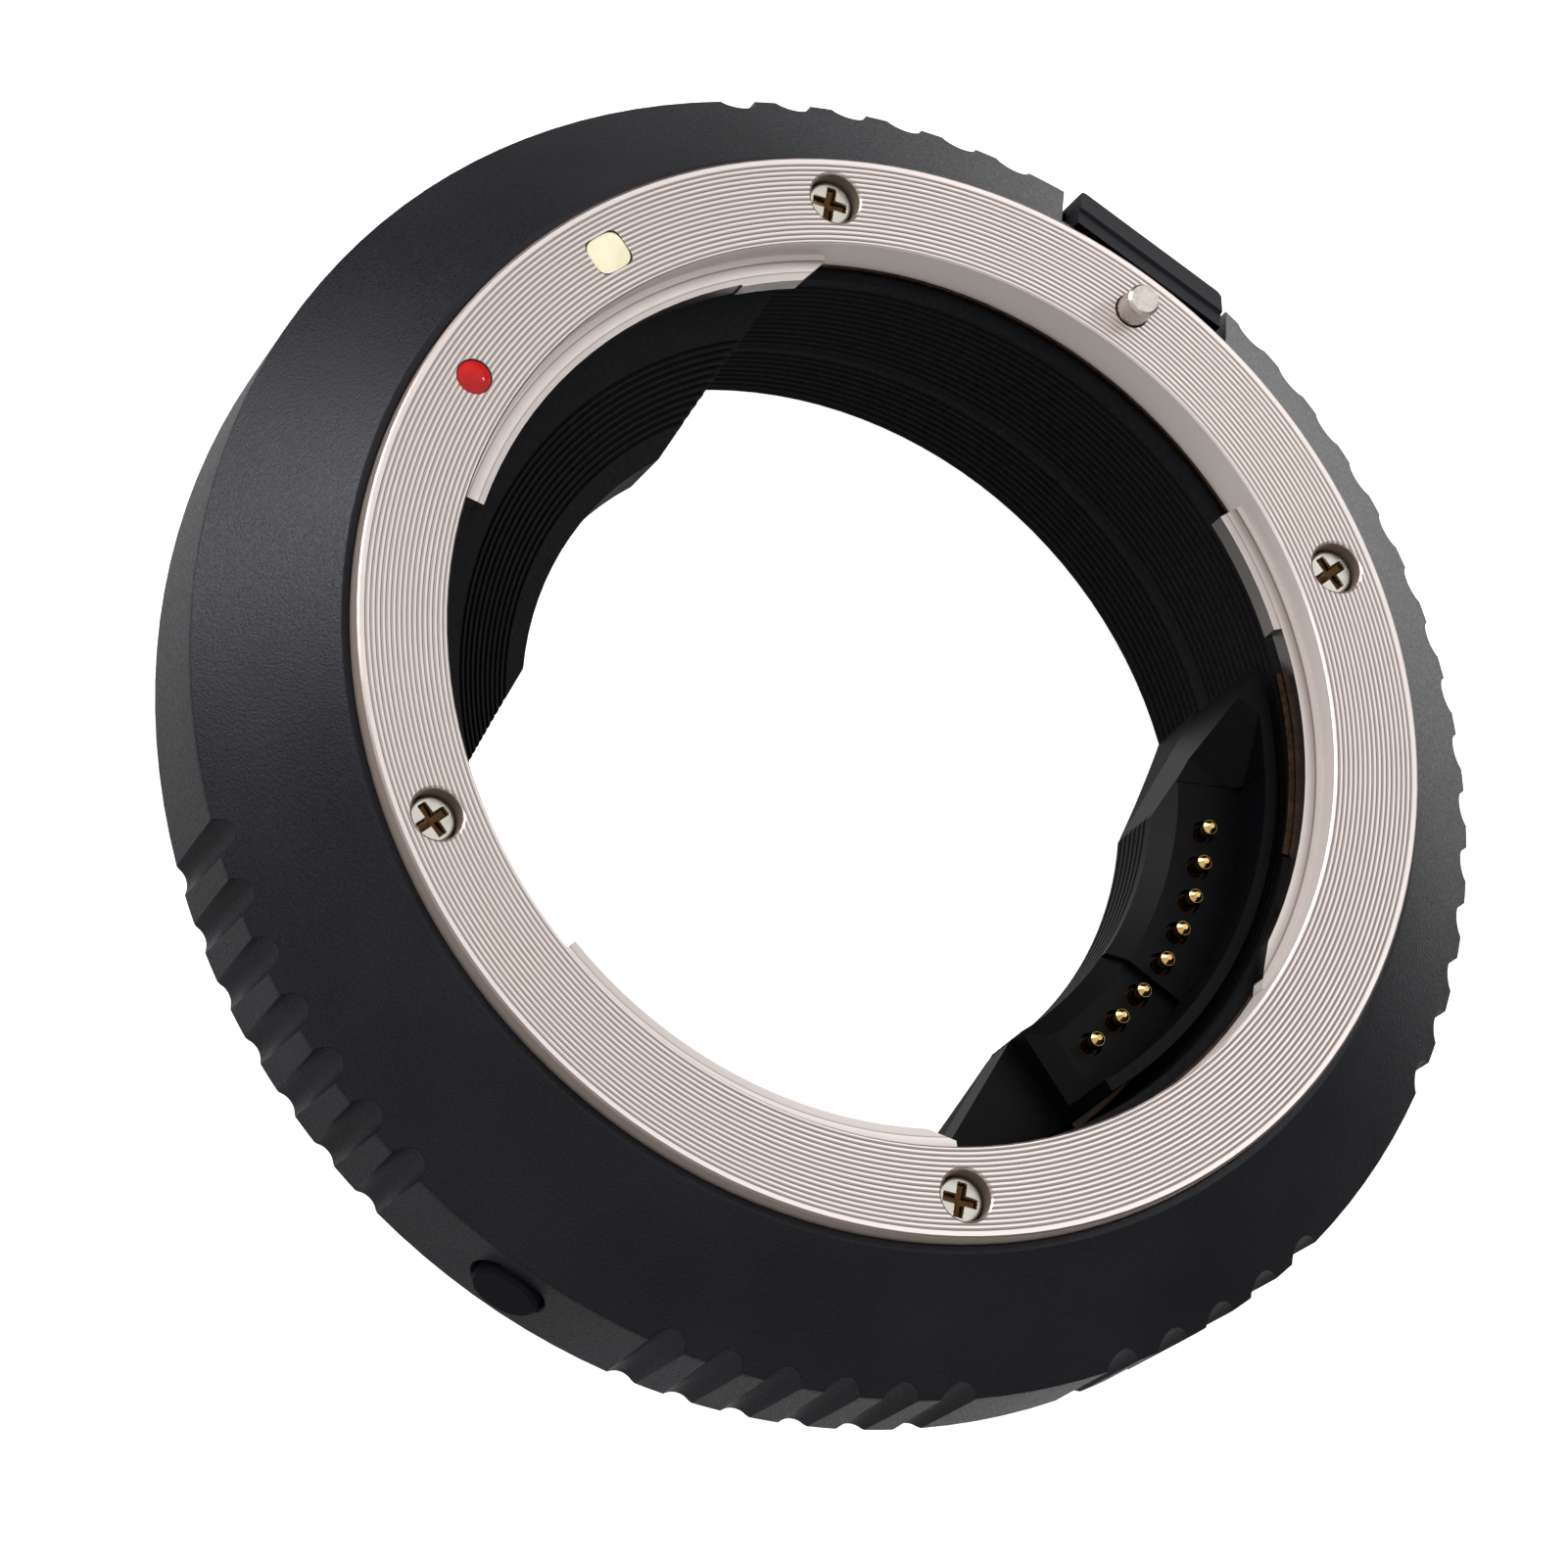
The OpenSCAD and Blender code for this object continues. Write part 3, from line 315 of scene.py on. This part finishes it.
def make_finish(name, colour, darker, metallic, roughness, grain_mm, relief_mm, **more):
    """A base colour that drifts to a darker one, with a relief of a given depth at a given spacing."""
    settings = {key.replace("_", " "): value for key, value in more.items()}
    material, tree, shader, place = start_material(
        name, **{"Metallic": metallic, "Roughness": roughness, **settings})
    grain = add(tree, "TexNoise", {"Scale": per_mm(grain_mm), "Detail": 3.0, "Roughness": 0.6},
                {"Vector": place})
    tint = add(tree, "ValToRGB", links={"Fac": grain.outputs["Fac"]})
    set_stops(tint, [(0.35, linear(darker)), (0.7, linear(colour))])
    tree.links.new(tint.outputs["Color"], shader.inputs["Base Color"])
    bump = add(tree, "Bump", {"Strength": 0.3, "Distance": relief_mm * MM},
               {"Height": grain.outputs["Fac"]})
    tree.links.new(bump.outputs["Normal"], shader.inputs["Normal"])
    return material


DULL = {"Specular_IOR_Level": 0.08}
GLOSSY = {"Specular_IOR_Level": 0.3}
FINISH_LIST = [
    make_finish("matte_black_moulded_baffle", "#1A1A1D", "#111113", 0, 0.6, 0.3, 0.02, **DULL),
    make_finish("smooth_matte_black_button", "#0F1016", "#0B0C11", 0, 0.6, 0.15, 0.01, **DULL),
    make_finish("black_polycarbonate_block", "#09090C", "#050507", 0, 0.42, 0.35, 0.02, **DULL),
    make_finish("gold_plated_pin", "#EBCB8E", "#C99F58", 1, 0.16, 0.4, 0.01),
    make_finish("tarnished_brass_barrel", "#3A2614", "#21150C", 1, 0.45, 0.3, 0.01),
    make_finish("polished_steel_pin", "#D5CDC6", "#BDB4AC", 1, 0.3, 0.3, 0.01),
    make_finish("zinc_plated_steel", "#B9BABB", "#9A9B9C", 1, 0.35, 0.5, 0.01),
    make_finish("rolled_bronze_strip", "#4E3D31", "#30261E", 1, 0.4, 0.4, 0.01),
    make_finish("red_gloss_enamel", "#C0060B", "#A00306", 0, 0.07, 1.5, 0.0, **GLOSSY),
    make_finish("ivory_gloss_enamel", "#EDE6C8", "#E2DAB6", 0, 0.25, 1.0, 0.005),
    make_finish("black_rubber", "#141416", "#0D0D0E", 0, 0.7, 0.3, 0.02),
    make_finish("green_solder_mask", "#1C5A38", "#134327", 0, 0.3, 2.0, 0.005),
    make_finish("epoxy_chip", "#1E1E20", "#161617", 0, 0.55, 0.2, 0.01),
    make_finish("amber_polyimide", "#8A5418", "#6B3F10", 0, 0.3, 1.2, 0.005),
    make_finish("grey_acetal", "#6E6F70", "#5C5D5E", 0, 0.45, 0.3, 0.01),
]
finishes = {finish.name: finish for finish in FINISH_LIST}
print("finishes", len(finishes))

# %% [markdown]
# Each node of the frame now gets its finish, by name. The frame's meshes stay as they are: only
# what is in their material slots changes. The contact pins are gold plated, and what isn't named
# here is a steel screw, pin, lever or spring with a zinc plating.

# %% Dress the frame

WEARS = {
    "body_shell": blasted_anodise,
    "lens_mount_ring": turned_nickel,
    "camera_mount_ring": turned_chrome,
    "bayonet_leaf_spring": finishes["rolled_bronze_strip"],
    "red_index_dot": finishes["red_gloss_enamel"],
    "camera_index_dot": finishes["red_gloss_enamel"],
    "lock_pin": finishes["polished_steel_pin"],
    "release_button": finishes["smooth_matte_black_button"],
    "side_button": finishes["smooth_matte_black_button"],
    "switch_plunger": finishes["grey_acetal"],
    "side_switch": finishes["epoxy_chip"],
    "lens_contact_block": finishes["black_polycarbonate_block"],
    "camera_contact_block": finishes["black_polycarbonate_block"],
    "contact_barrels": finishes["tarnished_brass_barrel"],
    "camera_contact_pads": finishes["gold_plated_pin"],
    "front_baffle": finishes["matte_black_moulded_baffle"],
    "rear_baffle": finishes["matte_black_moulded_baffle"],
    "rear_gasket": finishes["black_rubber"],
    "main_board": finishes["green_solder_mask"],
    "control_chip": finishes["epoxy_chip"],
    "flex_cable": finishes["amber_polyimide"],
}
for name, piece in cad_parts.items():
    finish = WEARS.get(name, finishes["zinc_plated_steel"])
    if name.startswith("contact_pin_"):
        finish = finishes["gold_plated_pin"]
    piece.data.materials.clear()
    piece.data.materials.append(finish)
print("dressed", len(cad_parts), "nodes")

# %% [markdown]
# Every new piece takes the same last steps: points and faces become a mesh, the mesh gets its
# finish, and the object stays at the origin. A piece of the adapter also hides the solid it stands
# in for and rides on the adapter's body. All new pieces here are grids that close round a middle
# line, so one function makes their faces.

# %% Shared steps of the new pieces


def new_object(name, points, faces, material):
    """Points in metres and faces as one mesh, in an object at the origin, unturned and unscaled."""
    mesh = bpy.data.meshes.new(name)
    mesh.from_pydata(points, [], faces)
    mesh.materials.append(material)
    made = bpy.data.objects.new(name, mesh)
    bpy.context.collection.objects.link(made)
    return made


def stand_in(name, points_mm, faces, material, stands_for, sharp_degrees):
    """A smooth piece in place of a solid, with sharp edges where faces turn by more than the angle."""
    piece = new_object(name, (points_mm * MM).tolist(), faces, material)
    mesh = piece.data
    mesh.polygons.foreach_set("use_smooth", np.ones(len(mesh.polygons), dtype=bool))
    mesh.set_sharp_from_angle(angle=math.radians(sharp_degrees))
    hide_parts(stands_for)
    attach(piece, "adapter")
    return piece


def ring_faces(rows, columns):
    """Four-sided faces between neighbouring rows and columns, and a fan at each pole."""
    r, c = np.meshgrid(np.arange(rows - 1), np.arange(columns), indexing="ij")
    near, far = r * columns + c, r * columns + (c + 1) % columns
    walls = np.stack([near, near + columns, far + columns, far], axis=-1).reshape(-1, 4)
    ends = np.arange(columns)
    after = (ends + 1) % columns
    top, tip = rows * columns, rows * columns + 1
    last = (rows - 1) * columns
    caps = [(top, int(a), int(b)) for a, b in zip(ends, after)]
    caps += [(tip, int(last + b), int(last + a)) for a, b in zip(ends, after)]
    return walls.tolist() + caps


print("faces of a grid of 3 rows and 8 columns", len(ring_faces(3, 8)))

# %% [markdown]
# The screws of the two mount rings are what the eye rests on. A cross recess is pressed into the
# head by a punch: its four arms have sloping walls and a floor that falls towards the middle. One
# surface makes the whole screw. Its rows go from the middle of the head outwards, over the rim,
# down the side, in to the shank and down to its tip, and its columns go round. The rows on the head
# are then pushed down where the cross is.

# %% The surface of a screw with a pressed cross

ARM_REACH = 0.78
ARM_HALF_WIDTH = 0.22
SLOPE_MM = 0.10
CROSS_DEPTH_MM = 0.55
FLOOR_RISE_MM = 0.30


def screw_surface(head_mm, height_mm, shank_mm, length_mm, columns=144, head_rows=44):
    """Rows follow the outline of half a screw and columns turn it round; the cross pushes rows down.

    The push is the depth of a point inside the cross (two crossed bars), over the width of the
    sloping wall and held to 0..1, times the floor's depth, which is greatest in the middle.
    """
    outline = np.array([[head_mm - 0.04, height_mm - 0.035], [head_mm, height_mm - 0.12], [head_mm, 0.0],
                        [shank_mm, 0.0], [shank_mm, -length_mm + 0.3], [shank_mm - 0.25, -length_mm]])
    spread = np.linspace(0.02, 1.0, head_rows) * (head_mm - 0.13)
    radius = np.concatenate([spread, outline[:, 0]])
    height = np.concatenate([np.full(head_rows, height_mm), outline[:, 1]])
    angle = np.linspace(0, 2 * np.pi, columns, endpoint=False)
    x = radius[:, None] * np.cos(angle)[None, :]
    y = radius[:, None] * np.sin(angle)[None, :]
    z = np.repeat(height[:, None], columns, axis=1)
    arm, half = ARM_REACH * head_mm, ARM_HALF_WIDTH * head_mm
    bars = [np.maximum(np.abs(x) - a, np.abs(y) - b) for a, b in ((arm, half), (half, arm))]
    inside = -np.minimum(*bars)
    on_head = np.arange(len(radius))[:, None] < head_rows
    push = np.where(on_head, np.clip(inside / SLOPE_MM, 0, 1), 0.0)
    floor = CROSS_DEPTH_MM - FLOOR_RISE_MM * np.hypot(x, y) / head_mm
    return np.stack([x, y, z - push * floor], axis=-1), push


def place_screws(name, stands_for, places, size):
    """Each place is x, y, z in mm, a spin in degrees, and 1 for a head that looks up or -1 for down."""
    grid, push = screw_surface(**size)
    faces = ring_faces(*push.shape)
    poles = [[0, 0, grid[0, :, 2].mean()], [0, 0, grid[-1, 0, 2]]]
    one = np.concatenate([grid.reshape(-1, 3), poles])
    depth = np.concatenate([push.ravel(), [1.0, 0.0]])
    points, all_faces = [], []
    for x, y, z, spin, up in places:
        cos, sin = math.cos(math.radians(spin)), math.sin(math.radians(spin))
        turned = one @ np.array([[cos, sin, 0], [-sin, cos, 0], [0, 0, 1]])
        first = len(points) * len(one)
        points.append(turned * np.array([1, up, up]) + np.array([x, y, z]))
        all_faces += [tuple(first + i for i in face) for face in faces]
    piece = stand_in(name, np.concatenate(points), all_faces, zinc_with_painted_recess_shade_and_highlight, stands_for, 32)
    recess = piece.data.attributes.new("recess", "FLOAT", "POINT")
    recess.data.foreach_set("value", np.tile(depth, len(places)))
    print(name, "triangles", sum(len(face) - 2 for face in all_faces))


# %% [markdown]
# The zinc on these heads is bright and slightly warm. In the recess the colour follows the depth of the push,
# which the mesh keeps as an attribute: a painted highlight on its rim, then painted shade that browns towards
# the floor.

# %% Bright zinc with painted highlight and shade in the recess


def make_zinc_with_painted_recess_shade_and_highlight():
    """The colour goes from the head through a painted highlight on the rim to a painted brown shade on the
    floor, by the attribute recess.
    """
    material, tree, shader, place = start_material(
        "bright_zinc_screw_painted_recess_shade", **{"Metallic": 1.0, "Roughness": 0.3})
    recess = add(tree, "Attribute", {"attribute_name": "recess"})
    stain = add(tree, "TexNoise", {"Scale": per_mm(0.5), "Detail": 3.0}, {"Vector": place})
    # Painted highlight on the recess rim at 0.25, then painted shade that browns towards the floor.
    tone = add(tree, "ValToRGB", links={"Fac": recess.outputs["Fac"]})
    set_stops(tone, [(0.0, linear("#C6C2BA")), (0.25, linear("#EFEAE0")), (0.6, linear("#7C6444")),
                     (1.0, linear("#4A3520"))])
    tree.links.new(tone.outputs["Color"], shader.inputs["Base Color"])
    gloss = add(tree, "MapRange", {"From Min": 0.3, "From Max": 0.7, "To Min": 0.2, "To Max": 0.4},
                {"Value": stain.outputs["Fac"]})
    tree.links.new(gloss.outputs["Result"], shader.inputs["Roughness"])
    bump = add(tree, "Bump", {"Strength": 0.2, "Distance": 0.01 * MM}, {"Height": stain.outputs["Fac"]})
    tree.links.new(bump.outputs["Normal"], shader.inputs["Normal"])
    return material


zinc_with_painted_recess_shade_and_highlight = make_zinc_with_painted_recess_shade_and_highlight()

# %% [markdown]
# Four screws hold each mount ring, on a circle about the axis. On the lens side their heads lie on
# the floors of counterbores, 1.7 mm below the face and look up. On the camera side they look down.
# Each cross is turned by its own angle, as a driver leaves them.

# %% The screws of the two mount rings


def on_circle(radius_mm, height_mm, angles, turns, up):
    """Places on a circle at these angles in degrees, each with its cross turned by turns times it."""
    return [(radius_mm * math.cos(math.radians(a)), radius_mm * math.sin(math.radians(a)), height_mm,
             turns * a, up) for a in angles]


LENS_SCREW = {"head_mm": 1.35, "height_mm": 0.8, "shank_mm": 0.85, "length_mm": 3.1}
CAMERA_SCREW = {"head_mm": 1.5, "height_mm": 1.1, "shank_mm": 0.85, "length_mm": 6.0}
LENS_PLACES = on_circle(30.0, 17.3 - 1.7, (37.1, 142.9, -37.1, -142.9), turns=3, up=1)
CAMERA_PLACES = on_circle(34.7, 1.2, (45, 135, 225, 315), turns=1, up=-1)
place_screws("lens_ring_screws", "lens_mount_screws", LENS_PLACES, LENS_SCREW)
place_screws("camera_ring_screws", "camera_mount_screws", CAMERA_PLACES, CAMERA_SCREW)

# %% [markdown]
# The ivory index mark is enamel that was dropped into a milled pocket. A drop pulls its own corners
# round, so its outline is between a square and a circle: a superellipse. Its top swells a little in
# the middle and falls to the rim. It is made as rings that shrink towards the middle.

# %% The enamel drop in the lens ring


def make_enamel_drop(name, stands_for, along_mm, across_mm, squareness, swell_mm,
                     rings=14, columns=96):
    """Outline: |x/a|^n + |y/b|^n = 1. Height: the swell times 1 - t^4, where t goes from 0 inside to 1."""
    low, high = (np.array(corner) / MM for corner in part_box(stands_for))
    middle = (low + high) / 2
    angle = np.linspace(0, 2 * np.pi, columns, endpoint=False)
    c, s = np.cos(angle), np.sin(angle)
    reach = (np.abs(c / along_mm) ** squareness + np.abs(s / across_mm) ** squareness) ** (-1 / squareness)
    t = np.concatenate([np.linspace(0.04, 1.0, rings), [1.0]])
    z = np.concatenate([high[2] - swell_mm + swell_mm * (1 - t[:-1] ** 4), [low[2]]])
    turn = math.atan2(middle[1], middle[0])
    x = t[:, None] * (reach * c)[None, :]
    y = t[:, None] * (reach * s)[None, :]
    grid = np.stack([middle[0] + x * math.cos(turn) - y * math.sin(turn),
                     middle[1] + x * math.sin(turn) + y * math.cos(turn),
                     np.repeat(z[:, None], columns, axis=1)], axis=-1)
    poles = [[middle[0], middle[1], high[2]], [middle[0], middle[1], low[2]]]
    points = np.concatenate([grid.reshape(-1, 3), poles])
    stand_in(name, points, ring_faces(rings + 1, columns), finishes["ivory_gloss_enamel"],
             stands_for, 40)
    print(name, "middle in mm", middle.round(2), "outline", along_mm, across_mm)


make_enamel_drop("ivory_enamel_drop", "ivory_index_mark",
                 along_mm=1.11, across_mm=1.21, squareness=3.2, swell_mm=0.05)

# %% [markdown]
# Behind the release button a coil spring pushes the lever up. It is wire of 0.34 mm wound on a
# mandrel, and it climbs more slowly at both ends, where the coil lies on its seats. The wire is a
# round profile carried along a helix.

# %% The return spring


def make_coil_spring(name, stands_for, wire_radius_mm, turns, per_turn=36, columns=12):
    """A circle that climbs by t mixed with 3t^2 - 2t^3, and a round of wire about each of its points."""
    low, high = (np.array(corner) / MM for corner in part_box(stands_for))
    middle = (low + high) / 2
    reach = (high[0] - low[0]) / 2 - wire_radius_mm
    length = high[2] - low[2]
    t = np.linspace(0, 1, turns * per_turn + 1)
    turn = 2 * np.pi * turns * t
    climb = 0.5 * t + 0.5 * (3 * t ** 2 - 2 * t ** 3)
    z = low[2] + wire_radius_mm + (length - 2 * wire_radius_mm) * climb
    around = np.linspace(0, 2 * np.pi, columns, endpoint=False)
    radius = reach + wire_radius_mm * np.cos(around)
    grid = np.stack([middle[0] + radius[None, :] * np.cos(turn)[:, None],
                     middle[1] + radius[None, :] * np.sin(turn)[:, None],
                     z[:, None] + wire_radius_mm * np.sin(around)[None, :]], axis=-1)
    points = np.concatenate([grid.reshape(-1, 3), [grid[0].mean(axis=0), grid[-1].mean(axis=0)]])
    piece = stand_in(name, points, ring_faces(len(t), columns), finishes["zinc_plated_steel"],
                     stands_for, 180)
    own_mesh(piece)
    print(name, "free length in mm", round(float(length), 2), "turns", turns)


make_coil_spring("release_coil_spring", "lock_spring",
                 wire_radius_mm=0.17, turns=7)

# %% [markdown]
# The part lies on its camera side on a pale table. The camera stands where the photographer's did,
# above and to the left, and a little rolled, so its axes are given as three directions and not as
# angles. A long lens keeps the circles close to true ellipses.

# %% Table and backdrop

TABLE_GAP = 0.03 * MM
TABLE_HALF = 3.0
WALL_RADIUS = 2.9
WALL_HEIGHT = 2.5


def make_paper(glow):
    """White card with a faint cloud of fibres, lit a little from within, as a light table is."""
    material, tree, shader, place = start_material(
        "white_card", **{"Base Color": linear("#FAFAFA"), "Roughness": 0.9, "Specular IOR Level": 0.2,
                         "Emission Color": (1, 1, 1, 1), "Emission Strength": glow})
    fibre = add(tree, "TexNoise", {"Scale": per_mm(60.0), "Detail": 1.0}, {"Vector": place})
    bump = add(tree, "Bump", {"Strength": 0.02, "Distance": 0.1 * MM}, {"Height": fibre.outputs["Fac"]})
    tree.links.new(bump.outputs["Normal"], shader.inputs["Normal"])
    return material


def make_table(height, half, material):
    """One flat square. Gloss does not see it, as if black cards lay beside the part."""
    corners = [(x * half, y * half, height) for x, y in ((-1, -1), (1, -1), (1, 1), (-1, 1))]
    table = new_object("table", corners, [(0, 1, 2, 3)], material)
    table.visible_glossy = False


def make_backdrop(radius, low, high, material, columns=48):
    """A round wall of pale paper far behind everything. Only the camera sees it, so it adds no light."""
    angle = np.linspace(0, 2 * np.pi, columns, endpoint=False)
    ring = np.stack([radius * np.cos(angle), radius * np.sin(angle)], axis=-1)
    points = np.concatenate([np.column_stack([ring, np.full(columns, z)]) for z in (low, high)])
    near = np.arange(columns)
    after = (near + 1) % columns
    faces = np.stack([after, near, near + columns, after + columns], axis=-1)
    backdrop = new_object("backdrop", points.tolist(), faces.tolist(), material)
    for kind in ("diffuse", "glossy", "transmission", "volume_scatter", "shadow"):
        setattr(backdrop, "visible_" + kind, False)


paper = make_paper(0.85)
make_table(cad_low.z - TABLE_GAP, TABLE_HALF, paper)
make_backdrop(WALL_RADIUS, cad_low.z - MM, WALL_HEIGHT, paper)
print("table at mm", round((cad_low.z - TABLE_GAP) / MM, 2))

# %% Camera

SENSOR_MM = 36.0
LENS_MM = 205.6
CAMERA_PLACE = Vector((-257.585, 65.212, 446.392)) * MM
CAMERA_RIGHT = Vector((0.458158, -0.802690, 0.381791))
CAMERA_UP = Vector((0.737260, 0.583102, 0.341210))
CAMERA_LOOK = Vector((0.496509, -0.125151, -0.858959))


def set_camera():
    """A camera whose own axes are right, up and the opposite of where it looks."""
    data = bpy.data.cameras.new("photographer")
    data.sensor_width = SENSOR_MM
    data.lens = LENS_MM
    camera = bpy.data.objects.new("photographer", data)
    turn = Matrix((CAMERA_RIGHT, CAMERA_UP, -CAMERA_LOOK)).transposed().to_4x4()
    camera.matrix_world = Matrix.Translation(CAMERA_PLACE) @ turn
    bpy.context.collection.objects.link(camera)
    bpy.context.scene.camera = camera
    return camera


camera = set_camera()
print("camera at mm", [round(v / MM, 1) for v in camera.location])

# %% [markdown]
# The light is what makes turned metal read. A room that is bright overhead and dim at eye level
# gives the ring's face its pale tone and leaves the black parts black. One large soft lamp stands
# beyond the top of the picture, and draws the bright fan on the ring and the sheen on the far side
# of the body. A small bright lamp on the other side adds points of light on what is round and glossy.

# %% Room and lamps

EYE_LEVEL = 0.13
OVERHEAD = 1.15
FLOOR_FROM = (0.45, 0.0, -0.89)
FLOOR_GLOW = 0.45
SIDE_FROM = (0.80, -0.36, -0.48)
SIDE_GLOW = 0.7
AIM_MM = (0, 0, 10)


def make_room():
    """The light from a direction grows with its height, from EYE_LEVEL to OVERHEAD.

    Below eye level, where only reflections look, it grows again around two directions, each by
    the cosine of the angle to it: FLOOR_FROM, which is broad, and SIDE_FROM, which is narrow.
    """
    world = bpy.data.worlds.new("white_room")
    world.use_nodes = True
    tree = world.node_tree
    tree.nodes.clear()
    direction = add(tree, "TexCoord").outputs["Generated"]
    height = add(tree, "SeparateXYZ", links={"Vector": direction})
    parts = [(height.outputs["Z"], 0.05, 0.86, EYE_LEVEL, OVERHEAD)]
    for source, start, full, glow in ((FLOOR_FROM, 0.6, 0.88, FLOOR_GLOW), (SIDE_FROM, 0.88, 0.99, SIDE_GLOW)):
        facing = add(tree, "VectorMath", {"operation": "DOT_PRODUCT", 1: source}, {0: direction})
        parts.append((facing.outputs["Value"], start, full, 0.0, glow))
    above, floor, side = [
        add(tree, "MapRange", {"interpolation_type": "SMOOTHSTEP", "From Min": start, "From Max": full,
                               "To Min": dim, "To Max": bright}, {"Value": value}).outputs["Result"]
        for value, start, full, dim, bright in parts]
    below = add(tree, "Math", {"operation": "ADD"}, {0: floor, 1: side})
    both = add(tree, "Math", {"operation": "ADD"}, {0: above, 1: below.outputs["Value"]})
    sky = add(tree, "Background", {"Color": (1, 1, 1, 1)}, {"Strength": both.outputs["Value"]})
    add(tree, "OutputWorld", links={"Surface": sky.outputs["Background"]})
    bpy.context.scene.world = world


def add_lamp(name, place_mm, size_mm, watts):
    """A round lamp at a place in mm, turned so that it shines on the middle of the part."""
    data = bpy.data.lights.new(name, "AREA")
    data.shape = "DISK"
    data.size = size_mm * MM
    data.energy = watts
    lamp = bpy.data.objects.new(name, data)
    lamp.location = Vector(place_mm) * MM
    lamp.rotation_euler = (Vector(AIM_MM) - Vector(place_mm)).to_track_quat("-Z", "Y").to_euler()
    bpy.context.collection.objects.link(lamp)


make_room()
add_lamp("large_soft_lamp", place_mm=(75, 580, 220), size_mm=420, watts=2.8)
add_lamp("small_bright_lamp", place_mm=(325, -200, 330), size_mm=70, watts=0.18)
bpy.context.scene.view_settings.view_transform = "Standard"
